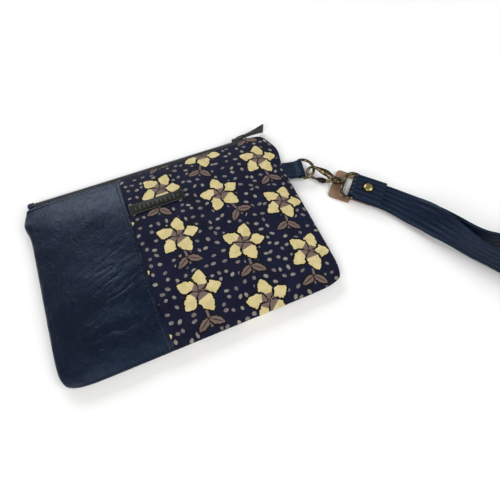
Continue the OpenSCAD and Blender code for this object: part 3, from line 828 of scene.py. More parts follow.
def fleck_field(x, y):
    """Distance inside the nearest of the print's scattered flecks."""
    best = np.full(x.shape, -9.0)
    column, row = np.floor(x / FLECK_PITCH), np.floor(y / FLECK_PITCH)
    for dx in (-1, 0, 1):
        for dy in (-1, 0, 1):
            i, j = column + dx, row + dy
            at_x = (i + 0.5 + 0.62 * (lattice(i, j, 1) - 0.5)) * FLECK_PITCH
            at_y = (j + 0.5 + 0.62 * (lattice(i, j, 2) - 0.5)) * FLECK_PITCH
            angle = 2.4 * (lattice(i, j, 3) - 0.5) - 0.35
            length = 1.35 + 0.6 * lattice(i, j, 4)
            width = 1.0 + 0.3 * lattice(i, j, 5)
            ax = (x - at_x) * np.cos(angle) + (y - at_y) * np.sin(angle)
            ay = (y - at_y) * np.cos(angle) - (x - at_x) * np.sin(angle)
            inside = (1 - np.sqrt((ax / length) ** 2 + (ay / width) ** 2)) * width
            best = np.maximum(best, inside)
    return best


def print_values(points, mirrored):
    """What the printed cotton's paint reads at each point of a panel."""
    x, y = points[..., 0].ravel(), points[..., 1].ravel()
    if mirrored:
        x, y = MIRROR_X - x, MIRROR_Y - y
    edge, along, mid = np.full(x.shape, -60.0), np.zeros(x.shape), np.ones(x.shape)
    tone = np.zeros(x.shape)
    petals, stems = sprigs()
    for base, tip, wide, leaf in petals:
        distance, run, off = petal_field(x, y, base, tip, wide)
        over = (distance > -1.2) | (distance > edge)
        edge = np.where(over, distance, edge)
        along, mid = np.where(over, run, along), np.where(over, off, mid)
        tone = np.where(over, float(leaf), tone)
    stem = stem_field(x, y, stems)
    fleck = fleck_field(x, y)
    fleck = np.where((edge > -1.5) | (stem < 3.2), np.minimum(fleck, -0.5), fleck)
    return {"edge": edge, "along": along, "mid": mid, "tone": tone, "stem": stem, "fleck": fleck}


# ---------------------------------------------------------------- pouch

SEAM_U = SEAM_X / HALF_W


def outer_panels():
    """The leather and the printed cotton, front and back."""
    halves = {"leather": (-1, SEAM_U, HALF_W + SEAM_X), "fabric": (SEAM_U, 1, HALF_W - SEAM_X)}
    finishes = {"leather": ("leather", "navy_leather"), "fabric": ("printed_cotton", "printed_cotton")}
    sides = {
        "front": (front_height, 1, LEFT_LIFT, RIGHT_LIFT, leather_relief, fabric_relief, 0.6, 0.5),
        "back": (back_height, -1, "pouch_back", "pouch_back", back_relief, back_relief, 0.9, 0.75),
    }
    for side_name, values in sides.items():
        height, side = values[:2]
        for half, body, relief, step in zip(halves, values[2:4], values[4:6], values[6:8]):
            low, high, width = halves[half]
            points = panel_grid(low, high, step, height, relief, side)
            drawn = print_values(points, side < 0) if half == "fabric" else None
            label, paint = finishes[half]
            made = piece(
                f"{side_name}_{label}", grid_shape(points, side < 0), paint, body,
                [f"{side_name}_{half}_panel"], 180, drawn
            )


INNER_STEP = 2.2


def inner_surface(name, u_low, u_high, low, high, paint, body, replaced):
    """A closed layer inside the pouch, between two heights."""
    us = np.linspace(u_low, u_high, int((u_high - u_low) * HALF_W / INNER_STEP) + 1)
    vs = np.sin(PI / 2 * np.linspace(-1, 1, int(2 * HALF_H / INNER_STEP) + 1))
    u, v = np.meshgrid(us * 0.985, vs * 0.985, indexing="ij")
    x, y = plan(u, v)
    top = np.stack([x, y, high(u, v, x, y)], 2)
    bottom = np.stack([x, y, low(u, v, x, y)], 2)
    ring = np.concatenate([top, bottom[:, ::-1]], 1)
    return piece(name, outward(loft(ring)), paint, body, replaced, 60)


def layer_heights(side, inner, outer):
    """Heights of a layer that lies between two depths under the pouch's outer surface."""
    surface = front_height if side > 0 else back_height

    def at_depth(depth):
        def height(u, v, x, y):
            if side > 0:
                relief = np.where(x < SEAM_X, leather_relief(x, y, u, v), fabric_relief(x, y, u, v))
            else:
                relief = -back_relief(x, y, u, v)
            keep_in = side * (surface(u, v) - SEAM_Z) + np.minimum(relief, 0)
            return SEAM_Z + side * np.maximum(keep_in - depth, 0.06)
        return height
    return at_depth(inner), at_depth(outer)


def inner_layers():
    """Fleece padding and cotton lining, under the outer panels."""
    halves = [("left", -1, LIFT_FROM / HALF_W, LEFT_LIFT), ("right", LIFT_FROM / HALF_W, 1, RIGHT_LIFT)]
    for side, name in ((1, "front"), (-1, "back")):
        layers = (
            ("padding", "fleece", "fleece_padding", layer_heights(side, 2.5, 1.15)),
            ("lining", "lining_cotton", "lining_cotton", layer_heights(side, 3.1, 2.65)),
        )
        parts = halves if side > 0 else [("", -1, 1, "pouch_back")]
        for part, low, high, body in parts:
            ending = f"_{part}" if part else ""
            for node, layer, paint, (deep, shallow) in layers:
                made = inner_surface(
                    f"{name}_{layer}{ending}", low, high, deep, shallow, paint, body, [f"{name}_{node}"]
                )


# ---------------------------------------------------------------- zipper


# The tape's section from under the panel up to the coil: Y, and distance from the zipper's middle plane
TAPE_SECTION = [(-10.2, 1.9), (-6.5, 2.05), (-3.6, 2.15), (-2.0, 2.3), (-1.0, 2.1), (-0.35, 1.5), (-0.1, 0.75)]


def zipper():
    """Two woven tapes whose edges carry the coil, from the left seam to the right one."""
    left, right = node_box("zipper_tape_front")[0][0], node_box("zipper_tape_front")[1][0]
    xs = np.linspace(left, right, 180)
    coil_y = (TEETH_LOW[1] + TEETH_HIGH[1]) / 2 + 0.35
    for side, name in ((1, "front"), (-1, "back")):
        rings = []
        for x in xs:
            sway = 0.075 * float(noise(x / 13, 3.0, 61))
            ring = [(x, coil_y + y + sway, SEAM_Z + side * (z + 0.25)) for y, z in TAPE_SECTION]
            ring += [(x, coil_y + y + sway - 0.1, SEAM_Z + side * (z - 0.25)) for y, z in TAPE_SECTION[::-1]]
            rings.append(ring)
        rings = np.array(rings)
        cut = int(np.argmin(np.abs(xs - LIFT_FROM)))
        if side > 0:
            parts = [("_left", rings[:cut + 1], LEFT_LIFT), ("_right", rings[cut:], RIGHT_LIFT)]
        else:
            parts = [("", rings, "pouch_back")]
        for part, some, body in parts:
            tape = piece(
                f"tape_{name}{part}", outward(loft(some)), "zipper_tape", body, [f"zipper_tape_{name}"], 50
            )
        coil(side, name, coil_y)
    ends()


COIL_PITCH = 1.32


def coil(side, name, coil_y):
    """One side's teeth: short loops that cross over the middle between the other side's."""
    start, end = TEETH_LOW[0] + 0.5, TEETH_HIGH[0] - 0.5
    teeth = {"left": [], "right": []}
    shift = 0 if side > 0 else COIL_PITCH / 2
    for x in np.arange(start + shift, end, COIL_PITCH):
        path = [(x, coil_y - 0.55, SEAM_Z + side * 1.55), (x, coil_y + 0.1, SEAM_Z + side * 1.35)]
        path += [(x, coil_y + 0.35, SEAM_Z + side * 0.5), (x, coil_y + 0.2, SEAM_Z - side * 0.35)]
        teeth["left" if x < LIFT_FROM else "right"].append(tube(path, 0.33, sides=8))
    parts = [("_left", teeth["left"], LEFT_LIFT), ("_right", teeth["right"], RIGHT_LIFT)]
    if side < 0:
        parts = [("", teeth["left"] + teeth["right"], "pouch_back")]
    for part, shapes, body in parts:
        piece(f"coil_{name}{part}", combine(*shapes), "zipper_coil", body, [f"zipper_teeth_{name}"], 60)


def ends():
    """Stops at both ends of the coil, and the leather folded over the left end."""
    low, high = node_box("zipper_bottom_stop")
    middle = (low[1] + high[1]) / 2
    upper_low = [low[0] + 0.3, middle - 0.2, low[2] + 0.3]
    upper_high = [high[0] - 0.3, high[1] + 0.1, high[2] - 0.3]
    stop = combine(
        soft_box(low, [high[0], middle + 0.2, high[2]], bevel=0.35), soft_box(upper_low, upper_high, bevel=0.4)
    )
    piece("bottom_stop", stop, "gunmetal", "pouch_back", ["zipper_bottom_stop"])
    for name, body in (("back", "pouch_back"), ("front", RIGHT_LIFT)):
        low, high = node_box(f"zipper_top_stop_{name}")
        piece(f"top_stop_{name}", soft_box(low, high, bevel=0.4), "gunmetal", body, [f"zipper_top_stop_{name}"])
    low, high = node_box("zipper_end_tab")
    xs = np.linspace(low[0], high[0], 12)
    rings = []
    for x in xs:
        t = (x - low[0]) / (high[0] - low[0])
        half_z = (high[2] - low[2]) / 2 * rounded(t, 1 / 2.2, 0.04)
        half_y = (high[1] - low[1]) / 2 * rounded(t, 1 / 2.6, 0.06)
        angles = np.arange(28) * 2 * PI / 28
        c, s = np.cos(angles), np.sin(angles)
        y = (low[1] + high[1]) / 2 + half_y * np.sign(c) * np.abs(c) ** 0.6
        z = half_z * np.sign(s) * np.abs(s) ** 0.6 * (1 - 0.12 * np.exp(-(c * 3) ** 2)) + (low[2] + high[2]) / 2
        rings.append(np.stack([np.full(28, x), y, z], 1))
    piece("end_tab_leather", outward(loft(rings)), "navy_leather", "pouch_back", ["zipper_end_tab"], 60)


def slider():
    low, high = node_box("slider_body")
    centre_x = (low[0] + high[0]) / 2
    length = high[0] - low[0]
    plate = PULL_AT[1] - 2.15
    half_z = (high[2] - low[2]) / 2
    parts = [soft_box([low[0], plate, SEAM_Z - half_z], [high[0], plate + 1.15, SEAM_Z + half_z], bevel=0.5)]
    for side in (-1, 1):
        near, far = sorted([SEAM_Z + side * (half_z - 0.75), SEAM_Z + side * half_z])
        parts.append(soft_box([low[0] + 0.3, TOP_Y + 1.1, near], [high[0] - 0.3, plate + 0.6, far], bevel=0.3))
    base_low, base_high = [low[0] + 0.5, low[1], SEAM_Z - 1.5], [high[0] - 0.5, low[1] + 1.2, SEAM_Z + 1.5]
    parts.append(soft_box(base_low, base_high, bevel=0.4))
    foot = plate + 0.7
    bridge = arc((centre_x, foot, SEAM_Z), 2.45, 0, 180, 18)
    bridge[:, 1] = foot + (bridge[:, 1] - foot) * 1.02
    parts.append(tube(bridge, 0.66))
    rib_xs = np.linspace(centre_x - length * 0.42, centre_x + length * 0.42, 8)
    parts.append(tube([(x, plate + 1.1, SEAM_Z) for x in rib_xs], 0.4))
    piece("slider", combine(*parts), "gunmetal", "zip_slider", ["slider_body"])
    pull()


LINK_ARM, LINK_HALF, LINK_BEND, PULL_L = 6.6, 2.0, 0.9, 20.0


def pull():
    """Wire link and its folded leather tab, drawn along X from the slider's pin."""
    far, wide, bend = LINK_ARM - LINK_BEND, LINK_HALF - LINK_BEND, LINK_BEND
    corners = [(far, wide, 0), (bend, wide, 90), (bend, -wide, 180), (far, -wide, 270)]
    path = np.concatenate([arc((x, 0, z), bend, a, a + 90, 6, (0, 2)) for x, z, a in corners])
    piece("link", tube(path, 0.55, closed=True, place=AT_PULL), "gunmetal", "zip_pull", ["pull_link"])
    low, high = node_box("pull_tab")
    end_half = (high[2] - low[2]) / 2
    rings = []
    for t in np.concatenate([[0, 0.006, 0.02, 0.05], np.linspace(0.08, 0.96, 20), [0.985, 0.996, 1.0]]):
        half = 1.45 + (end_half - 1.45) * smooth((t - 0.05) / 1.5) / smooth(0.95 / 1.5)
        thick = 0.92 if t > 0.2 else 1.15 - 0.23 * t / 0.2
        closing = rounded((1 - t) * PULL_L, 0.6, 0.1)
        opening = rounded(t * PULL_L, 1.2, 0.05)
        angles = np.arange(40) * 2 * PI / 40
        c, s = np.cos(angles), np.sin(angles)
        z = (half - 0.25 * (1 - closing)) * np.sign(c) * np.abs(c) ** 0.35
        y = thick * min(closing, opening) * np.sign(s) * np.abs(s) ** 0.45
        y = y * (1 - 0.22 * np.exp(-((np.abs(z) - half + 1.1) / 0.28) ** 2) * (t > 0.14))
        y = y + 0.35 * math.sin(2.2 * t) * t
        rings.append(np.stack([np.full(40, LINK_ARM - 1.15 + t * (PULL_L + 1.1)), y, z], 1))
    points, faces = loft(rings)
    piece("pull_leather", outward((AT_PULL(points), faces)), "grey_leather", "zip_pull", ["pull_tab"], 60)


# ---------------------------------------------------------------- stitches and label

STITCH_PITCH = 3.0


def topstitching():
    """Thread on the leather, beside the seam and under the zipper."""
    for name, node, axis in (("seam_thread", "seam_stitching", 1), ("zipper_thread", "zipper_stitching", 0)):
        low, high = node_box(node)
        spot, along, shapes = (low + high) / 2, np.eye(3)[axis], []
        for spot[axis] in np.arange(low[axis] + 1, high[axis], STITCH_PITCH):
            x, y = spot[:2]
            u, v = x / HALF_W, (y - PLAN_Y) / HALF_H
            z = float(front_height(u, v) + leather_relief(x, y, u, v))
            shapes.append(stitch((x, y, z + 0.02), along, UP, 2.3))
        piece(name, combine(*shapes), "navy_thread", LEFT_LIFT, [node], 60)


def label():
    """A plate with a raised border and a plain row of raised bars."""
    low, high = LABEL_LOW, LABEL_HIGH
    parts = [soft_box(low, high - [0, 0, 0.3], bevel=0.3)]
    border, inset = 0.5, 0.35
    top = high[2] - 0.3
    borders = [
        ((low[0] + inset, low[1] + inset), (high[0] - inset, low[1] + inset + border)),
        ((low[0] + inset, high[1] - inset - border), (high[0] - inset, high[1] - inset)),
        ((low[0] + inset, low[1] + inset), (low[0] + inset + border, high[1] - inset)),
        ((high[0] - inset - border, low[1] + inset), (high[0] - inset, high[1] - inset)),
    ]
    for (x0, y0), (x1, y1) in borders:
        parts.append(soft_box([x0, y0, top - 0.2], [x1, y1, top + 0.2], bevel=0.18))
    middle = (low[1] + high[1]) / 2
    for k, x in enumerate(np.linspace(low[0] + 5, high[0] - 5, 11)):
        tall = 2.1 if k % 2 else 1.2
        bar_low, bar_high = [x - 0.55, middle - tall, top - 0.2], [x + 0.55, middle + tall, top + 0.16]
        parts.append(soft_box(bar_low, bar_high, bevel=0.3))
    shape = combine(*parts)
    raised = (shape[0][:, 2] > top + 0.02).astype(float)
    piece("label", shape, "label_metal", "pouch_front", ["label_plate"], values={"raised": raised})
    keep("label_prongs", "gunmetal")


# ---------------------------------------------------------------- side tab and D-ring


def folded_strip(path, side, section, place):
    """Sweeps a section along a folded path of (x, z) points. side tells which way its outer face looks."""
    path = np.array(path)
    along = np.gradient(path, axis=0)
    along /= np.linalg.norm(along, axis=1)[:, None]
    flat = np.zeros(len(path))
    centre = np.stack([path[:, 0], flat, path[:, 1]], 1)
    out = side * np.stack([-along[:, 1], flat, along[:, 0]], 1)
    points, faces = ribbon(centre, np.tile([0.0, 1.0, 0.0], (len(path), 1)), out, section)
    return place(points), faces


TAB_T, TAB_HALF, TAB_INNER, TAB_SEWN = 1.25, 8.0, 1.25, 0.66


def side_tab():
    """Leather folded round the D-ring's bar, its two ends sewn into the side seam."""
    middle = TAB_INNER + TAB_T / 2
    reach = float(TAB_AT[0] - HALF_W) + 3.5
    top = [(x, TAB_SEWN) for x in np.linspace(-reach, -5.5, 9)]
    top += [(x, TAB_SEWN + (middle - TAB_SEWN) * smooth((x + 5.5) / 4.6)) for x in np.linspace(-5.0, -0.9, 8)]
    turn = [(middle * math.sin(a), middle * math.cos(a)) for a in np.linspace(0.0, PI, 19)]
    path = top + turn + [(x, -z) for x, z in top[::-1]]
    shape = folded_strip(path, 1, strip_section(TAB_HALF, TAB_T, 0, 0.1), AT_TAB)
    piece("side_tab_leather", shape, "strap_leather", "pouch_back", ["side_tab"], 50)
    lift = TAB_T / 2 + TAB_SEWN + 0.04
    spots = [(x, side * 6.1, lift) for side in (-1, 1) for x in (-11.2, -8.4, -5.6)]
    shapes = [stitch(spot, (1, 0, 0), UP, 2.1, place=AT_TAB) for spot in spots]
    piece("side_tab_thread", combine(*shapes), "navy_thread", "pouch_back", ["side_tab_stitching"], 60)


def ridges(w, width, rows):
    """Padded rows across a strip: 1 on each crown, and below 0 in the sewn valleys between them."""
    part = np.abs(2 * (((w + width / 2) / width * rows) % 1) - 1)
    return 1 - 2.2 * part ** 2.8


def strip_section(half_w, thick, rows, puff, edge=0.5):
    """A strip's closed section: rows of padded ridges on its outer face, rounded edges, a plain inner face."""
    w = np.linspace(-half_w, half_w, 61)
    closing = rounded(half_w - np.abs(w), edge)
    crown = ridges(w, 2 * half_w, rows) if rows else 1 - (w / half_w) ** 4

    def face(sign, ridge):
        return np.stack([w, sign * (thick / 2 * (0.25 + 0.75 * closing) + ridge * crown * closing)], 1)
    return np.concatenate([face(1, puff), face(-1, puff * 0.3)[::-1]])


DRING_R, DRING_NECK, DRING_WIRE = 9.5, 1.5, 1.2


def d_ring():
    bend = 1.6
    outer = arc((DRING_NECK, 0, 0), DRING_R, -90, 90, 48)
    top = arc((bend, DRING_R - bend, 0), bend, 90, 180, 8)
    bottom = arc((bend, -DRING_R + bend, 0), bend, 180, 270, 8)
    bar = np.stack([np.zeros(8), np.linspace(DRING_R - bend - 1, -DRING_R + bend + 1, 8), np.zeros(8)], 1)
    shape = tube(np.concatenate([outer, top, bar, bottom]), DRING_WIRE, closed=True, sides=24, place=AT_TAB)
    piece("ring_wire", shape, "antique_brass", "d_ring", ["d_ring"])


# ---------------------------------------------------------------- clasp

HOOK_R, HOOK_TIP_X, BARREL_END = 4.15, -0.8, 22.8
GATE_LOCAL = (GATE_AT - HOOK_AT) @ AT_HOOK.axes.T
AT_GATE = Place(GATE_AT, *AT_HOOK.axes)


def hook():
    """A beak, the bow round the D-ring's wire, a stout arm, the barrel, two ears and the pin's heads."""
    beak = [(3.0, -HOOK_R, 0), (1.6, -HOOK_R, 0), (0.4, -HOOK_R, 0)]
    bow = arc((HOOK_TIP_X, 0, 0), HOOK_R, -90, -270, 30)
    arm = [(1.5, 4.15, 0), (4.0, 3.85, 0), (6.5, 3.45, 0), (9.0, 3.1, 0), (11.5, 2.6, 0), (13.5, 1.9, 0)]
    arm += [(15.8, 0.9, 0)]
    path = np.concatenate([beak, bow, arm])
    thick = np.concatenate([[0.95, 1.08, 1.13], np.full(31, 1.15), [1.4, 1.8, 2.35, 2.6, 2.6, 2.5, 2.45]])
    points, faces = tube(path, thick, sides=28)
    points[:, 2] *= 1 - 0.3 * smooth((points[:, 0] - 2) / 5)
    parts = [outward((AT_HOOK(points), faces))]
    profile = [(15.6, 1.6), (16.0, 2.5), (16.6, 3.0), (17.2, 3.05), (17.5, 2.75), (17.9, 2.75), (18.2, 3.05)]
    profile += [(20.8, 3.05), (21.1, 2.8), (21.4, 2.8), (21.7, 3.1), (22.5, 3.1)]
    profile += [(BARREL_END, 2.8), (BARREL_END, 1.4)]
    parts.append(lathe(profile, AT_HOOK))
    gx, gy = GATE_LOCAL[0], GATE_LOCAL[1]
    for side in (-1, 1):
        ear = [(gx, gy, 0), (gx + 1.4, gy + 0.9, 0), (gx + 3.0, gy + 2.2, 0)]
        points, faces = tube(ear, [1.75, 1.7, 1.6], sides=28)
        points[:, 2] = np.clip(points[:, 2], -1.0, 1.0) * 0.4 + side * 1.95
        parts.append(outward((AT_HOOK(points), faces)))
        head = [(side * 2.2, 1.0), (side * 2.45, 0.9), (side * 2.55, 0.5), (side * 2.58, 0.05)]
        parts.append(lathe(head, AT_GATE, axis=2, sides=24))
    piece("snap_hook", combine(*parts), "antique_brass", "clasp", ["hook_frame"], 35)
    keep("gate_pin", "antique_brass")
    keep("gate_spring", "spring_steel")


def gate():
    """The sprung lever that closes the hook, with its thumb knob."""
    gx, gy = GATE_LOCAL[0], GATE_LOCAL[1]
    path = [(gx - 0.2, gy - 0.1, -0.4), (12.2, -3.35, -0.35), (10.5, -3.7, -0.15), (9.0, -3.8, 0)]
    path += [(6.8, -3.9, 0), (5.2, -4.0, 0), (4.3, -4.13, 0)]
    shapes = [tube(path, [0.95, 1.45, 2.1, 2.2, 1.8, 1.25, 0.92], sides=24, place=AT_HOOK)]
    knob = [(9.3, -4.3, 0), (8.6, -4.9, 0), (8.2, -5.25, 0)]
    shapes.append(tube(knob, [1.0, 0.95, 0.8], sides=20, place=AT_HOOK))
    shapes.append(lathe([(-1.3, 1.5), (-1.2, 1.65), (0.1, 1.65), (0.22, 1.5)], AT_GATE, axis=2, sides=32))
    # The lever takes the darker brass, as painted shade
    piece("gate_lever_brass", combine(*shapes), "brass_in_painted_shade", "gate", ["gate_lever"], 35)


RING_HALF, RING_BEND, BAR_BEND, RING_WIRE = 12.7, 6.7, 1.5, 1.2
RING_NEAR = BARREL_END + 3.6


def swivel():
    """The ring whose bar carries the strap, and the post that turns in the hook's barrel."""
    near, half = RING_NEAR + RING_BEND, RING_HALF - RING_BEND
    bar_x, bar_half = BAR_X - BAR_BEND, RING_HALF - BAR_BEND
    corners = [(near, half, RING_BEND, 180, 90, 20), (bar_x, bar_half, BAR_BEND, 90, 0, 6)]
    corners += [(bar_x, -bar_half, BAR_BEND, 0, -90, 6), (near, -half, RING_BEND, 270, 180, 20)]
    path = [arc((x, y, 0), bend, start, end, steps) for x, y, bend, start, end, steps in corners]
    shapes = [tube(np.concatenate(path), RING_WIRE, closed=True, sides=24, place=AT_CLASP)]
    post = [(18.1, 2.2), (20.5, 2.2), (20.6, 1.45)]
    end = [(0.1, 1.4), (0.25, 2.0), (0.9, 2.35), (1.7, 2.35), (2.4, 1.9), (2.6, 1.2)]
    post += [(BARREL_END + x, radius) for x, radius in end] + [(RING_NEAR, 1.1)]
    shapes.append(lathe(post, AT_CLASP))
    piece("swivel_wire_ring", combine(*shapes), "antique_brass", "swivel", ["swivel_ring"], 35)


# ---------------------------------------------------------------- strap

STRAP_W, STRAP_T, LOOP_L, LOOP_SPREAD, FLAP_L = 22.0, 2.3, 170.0, 23.0, 23.0
FOLD_INNER, FOLD_T, KEEPER_T, STRAP_LIFT = 1.25, 2.4, 1.2, 0.15
DRIFT, DRIFT_START, DRIFT_L = 8.2, 23.0, 48.0
TWIST_START, TWIST_END = 23.0, 102.0
PAIR_HALF = (FOLD_INNER + FOLD_T / 2) / 2
RIDGES, VALLEYS, RIDGE_PUFF = 5, (-1.5, -0.5, 0.5, 1.5), 0.42
THREAD_PITCH = 3.1


def strap_middle(t):
    """The strap's middle, in the clasp's frame. t runs from -1 under the bar round the loop to 1 over it."""
    a, side = abs(t), (-1 if t < 0 else 1)
    s = LOOP_L * math.cos(PI / 2 * a)
    spread = PAIR_HALF + 2 * LOOP_SPREAD * math.sin(PI / 2 * a) * math.cos(PI / 2 * a) ** 4 if a > 1e-4 else 0
    drifted = min(max((s - DRIFT_START) / DRIFT_L, 0), 1)
    heading = -math.atan(6 * DRIFT * drifted * (1 - drifted) / DRIFT_L)
    edge_x, edge_y = BAR_X + s, -STRAP_W / 2 - DRIFT * float(smooth(drifted))
    twist = PI / 2 * float(smooth((s - TWIST_START) / (TWIST_END - TWIST_START)))
    sin_h, cos_h, sin_w, cos_w = math.sin(heading), math.cos(heading), math.sin(twist), math.cos(twist)
    across = np.array([-sin_h * cos_w, cos_h * cos_w, sin_w])
    out = np.array([sin_h * sin_w, -cos_h * sin_w, cos_w])
    flat = PAIR_HALF - SEAM_Z + FOLD_T / 2 + KEEPER_T + 0.15
    free = (spread + STRAP_T / 2) * cos_w + STRAP_LIFT - SEAM_Z
    rise = flat + (free - flat) * float(smooth((s - 24) / 22))
    fade = min(1.0, a / 0.06)
    middle = np.array([edge_x, edge_y, rise]) + across * STRAP_W / 2
    return middle + out * side * (spread - PAIR_HALF * (1 - fade)), across


def strap_frames(t_low, t_high, count):
    ts = np.linspace(t_low, t_high, count)
    middles, acrosses, outs = [], [], []
    for t in ts:
        middle, across = strap_middle(t)
        along = strap_middle(t - 0.002)[0] - strap_middle(t + 0.002)[0]
        out = np.cross(along / np.linalg.norm(along), across)
        middles.append(middle)
        acrosses.append(across)
        outs.append(out / np.linalg.norm(out))
    return np.array(middles), np.array(acrosses), np.array(outs)


NEAR_END = 1 - math.asin(1.6 / LOOP_L) / (PI / 2)
FAR_END = 1 - math.asin((FLAP_L + 0.05) / LOOP_L) / (PI / 2)


def half_section(low, high, puff, inset=0.0):
    """One leather of the strap, from low to high off the middle, ridged on the face that shows."""
    half_w = STRAP_W / 2 - inset
    w = np.linspace(-half_w, half_w, 71)
    closing = rounded(half_w - np.abs(w), 0.8)
    rise = (high - low) * (0.3 + 0.7 * closing) + puff * ridges(w, STRAP_W, RIDGES) * closing
    if high > -low:
        shown, hidden = low + rise, np.full(71, low)
    else:
        shown, hidden = high - rise, np.full(71, high)
    return np.concatenate([np.stack([w, shown], 1), np.stack([w, hidden], 1)[::-1]])


def strap():
    frames = strap_frames(-FAR_END, NEAR_END, 330)
    sections = {
        "outer": half_section(0.0, STRAP_T / 2 - 0.15, RIDGE_PUFF),
        "inner": half_section(-STRAP_T / 2 + 0.05, -0.04, 0.1, 0.35),
    }
    for name, section in sections.items():
        points, faces = ribbon(*frames, section)
        shape = (AT_CLASP(points), faces)
        made = piece(f"strap_{name}", shape, "strap_leather", "strap", [f"strap_{name}_leather"], 55)
    strap_thread()
    fold()


def strap_thread():
    """Four rows of stitches, one in each valley between the ridges."""
    middles, acrosses, outs = strap_frames(-FAR_END + 0.02, FAR_END - 0.03, 700)
    travelled = np.concatenate([[0], np.cumsum(np.linalg.norm(np.diff(middles, axis=0), axis=1))])
    shapes = []
    for row in VALLEYS:
        for s in np.arange(1.5, travelled[-1] - 1.5, THREAD_PITCH):
            k = int(np.searchsorted(travelled, s))
            along = middles[k] - middles[k - 1]
            along = along / np.linalg.norm(along)
            at = middles[k] + acrosses[k] * row * STRAP_W / RIDGES + outs[k] * (STRAP_T / 2 - 0.58)
            shapes.append(stitch(at, along, outs[k], 2.3, 0.4, AT_CLASP))
    piece("strap_thread", combine(*shapes), "navy_thread", "strap", ["strap_stitching"], 60)


def fold():
    """The strap's end: it wraps the ring's bar and lies back over the loop, held by the rivet."""
    middle = FOLD_INNER + FOLD_T / 2
    top = [(x, middle + 0.12 * math.sin(x / FLAP_L * PI)) for x in np.linspace(FLAP_L, 1, 24)]
    turn = [(-middle * math.sin(a), middle * math.cos(a)) for a in np.linspace(0, PI, 25)]
    bottom = [(x, -middle) for x in np.linspace(1, FLAP_L, 16)]
    path = [(BAR_X + x, z) for x, z in top + turn + bottom]
    section = strip_section(STRAP_W / 2, FOLD_T - 0.45, RIDGES, RIDGE_PUFF, 0.7)
    shape = folded_strip(path, -1, section, AT_CLASP)
    made = piece("strap_fold", shape, "strap_leather", "strap", ["strap_end_fold"], 50)
    shapes = []
    for row in VALLEYS:
        y = row * STRAP_W / RIDGES
        for x in np.arange(BAR_X + 2.5, BAR_X + FLAP_L - 1.5, THREAD_PITCH):
            if math.hypot(x - RIVET_X, y) > 6.6:
                at = (x, y, middle + FOLD_T / 2 - 0.62)
                shapes.append(stitch(at, (1, 0, 0), UP, 2.3, 0.4, AT_CLASP))
    piece("fold_thread", combine(*shapes), "navy_thread", "strap", (), 60)


RIVET_X = BAR_X + 9.6
RIVET_R = 5.0


def rivet():
    top = FOLD_INNER + FOLD_T + 0.05
    profile = [(0.0, 4.5), (0.15, 5.0), (0.4, 5.0), (0.6, 4.75), (0.5, 4.2), (0.45, 3.95), (0.6, 3.75)]
    profile += [(0.6 + 1.45 * math.sin(a), 3.75 * math.cos(a)) for a in np.linspace(0.12, PI / 2, 12)]
    place = Place(AT_CLASP([RIVET_X, 0, top]), *AT_CLASP.axes)
    shape = lathe(profile, place, axis=2, sides=56)
    rim = np.linalg.norm((shape[0] - place.origin)[:, :2], axis=1) / RIVET_R
    piece("rivet_dome", shape, "bright_brass", "strap", ["rivet_cap"], 50, {"rim": rim})
    keep("rivet_post", "antique_brass")


KEEPER_LOW, KEEPER_END, KEEPER_WIDE, KEEPER_NARROW, KEEPER_BEND = 17.8, 52.0, 14.5, 10.2, 3.2


def keeper():
    """Tan leather under the ring, with a window that shows through the ring."""
    window_low, window_high, window_half = RING_NEAR + 1.2, RING_NEAR + 6.4, 10.5
    corner = KEEPER_LOW + KEEPER_BEND
    outline_x = np.unique(np.concatenate([
        KEEPER_LOW + KEEPER_BEND * (1 - np.cos(np.linspace(0, PI / 2, 8))),
        [BAR_X - 1.0, BAR_X, window_low, window_high], np.linspace(corner, KEEPER_END, 16),
    ]))
    points, rows, faces = [], [], []
    for x in outline_x:
        half = KEEPER_WIDE - (KEEPER_WIDE - KEEPER_NARROW) * float(smooth((x - BAR_X + 1.2) / 1.4))
        if x < corner:
            half = KEEPER_WIDE - KEEPER_BEND * (1 - float(rounded(x - KEEPER_LOW, KEEPER_BEND)))
        inner = min(window_half, half * 0.9)
        right = [half * share for share in (0.95, 0.985, 1)]
        ys = [-y for y in right[::-1]] + [-inner, 0.0, inner] + right
        rows.append(range(len(points), len(points) + len(ys)))
        points += [(x, y, KEEPER_T / 2 - SEAM_Z + 0.1) for y in ys]
    for i, (row, following) in enumerate(zip(rows[:-1], rows[1:])):
        in_window = window_low < (outline_x[i] + outline_x[i + 1]) / 2 < window_high
        for j in range(len(row) - 1):
            if not (in_window and j in (3, 4)):
                faces.append((row[j], following[j], following[j + 1], row[j + 1]))
    used = sorted({i for face in faces for i in face})
    index = {old: new for new, old in enumerate(used)}
    points = AT_CLASP([points[i] for i in used])
    faces = [tuple(index[i] for i in face) for face in faces]
    made = piece("keeper", (points, faces), "tan_leather", "strap", ["keeper_tab"], 40)
    solid = made.modifiers.new("thickness", "SOLIDIFY")
    solid.thickness, solid.offset, solid.use_even_offset = (KEEPER_T - 0.1) * MM, 0, True
    bevel = made.modifiers.new("edges", "BEVEL")
    bevel.width, bevel.segments, bevel.limit_method = 0.3 * MM, 3, "ANGLE"
    bevel.angle_limit = math.radians(50)


# ---------------------------------------------------------------- set


FLOOR_HALF, FLOOR_Z = 3.0, -0.0001


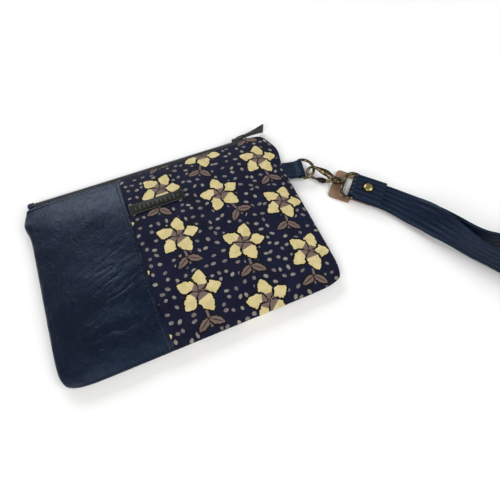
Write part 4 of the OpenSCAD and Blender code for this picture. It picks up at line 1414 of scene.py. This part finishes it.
def studio():
    """Pale floor, a broad soft light behind the pouch, one to each side in front, and a dim world."""
    floor = bpy.data.meshes.new("floor")
    corners = [(x * FLOOR_HALF, y * FLOOR_HALF, FLOOR_Z) for x, y in ((-1, -1), (1, -1), (1, 1), (-1, 1))]
    floor.from_pydata(corners, [], [(0, 1, 2, 3)])
    p = Paint("floor_paint", roughness=0.9, Specular_IOR_Level=0.1)
    p.finish("Base Color", p.mix(p.noise(60.0, 2.0), tint(243, 243, 243), tint(247, 247, 247)))
    floor.materials.append(p.material)
    ground = bpy.data.objects.new("floor", floor)
    bpy.context.scene.collection.objects.link(ground)

    world = bpy.data.worlds.new("studio")
    bpy.context.scene.world = world
    world.use_nodes = True
    back = world.node_tree.nodes["Background"]
    back.inputs["Color"].default_value = (1.0, 1.0, 1.0, 1.0)
    back.inputs["Strength"].default_value = 0.28

    def softbox(name, place, target, width, height, power, colour=(1, 1, 1)):
        data = bpy.data.lights.new(name, "AREA")
        data.shape, data.size, data.size_y = "RECTANGLE", width, height
        data.energy, data.color = power, colour
        lamp = bpy.data.objects.new(name, data)
        bpy.context.scene.collection.objects.link(lamp)
        lamp.location = place
        lamp.rotation_euler = (Vector(target) - Vector(place)).to_track_quat("-Z", "Y").to_euler()

    softbox("window", (-0.1, 1.35, 0.78), (0, 0.02, 0), 1.3, 0.5, 14.0, (0.94, 0.97, 1.0))
    softbox("left", (-0.95, -0.75, 0.95), (0, 0, 0), 0.9, 0.9, 12.5, (1.0, 0.99, 0.97))
    softbox("right", (0.95, -0.7, 1.0), (0.05, 0, 0), 0.9, 0.9, 12.5, (1.0, 0.99, 0.97))


def camera():
    """Looks down on the pouch from its lower left, turned to the right."""
    azimuth, down, roll = math.radians(25.04), math.radians(63.28), math.radians(2.16)
    view = np.array([math.sin(azimuth) * math.cos(down), math.cos(azimuth) * math.cos(down), -math.sin(down)])
    right = np.cross(view, UP)
    right /= np.linalg.norm(right)
    up = np.cross(right, view)
    right, up = (right * math.cos(roll) + up * math.sin(roll), up * math.cos(roll) - right * math.sin(roll))
    data = bpy.data.cameras.new("camera")
    data.sensor_width, data.lens, data.clip_start, data.clip_end = 36, 26.71, 0.01, 20
    made = bpy.data.objects.new("camera", data)
    bpy.context.scene.collection.objects.link(made)
    turn = Matrix([list(right), list(up), list(-view)]).transposed()
    made.matrix_world = Matrix.Translation([c * MM for c in (-6.54, -138.62, 251.39)]) @ turn.to_4x4()
    bpy.context.scene.camera = made
    bpy.context.scene.view_settings.view_transform = "Standard"


for build in (
    camera, outer_panels, inner_layers, zipper, slider, topstitching, label, side_tab,
    d_ring, hook, gate, swivel, strap, rivet, keeper, studio
):
    build()
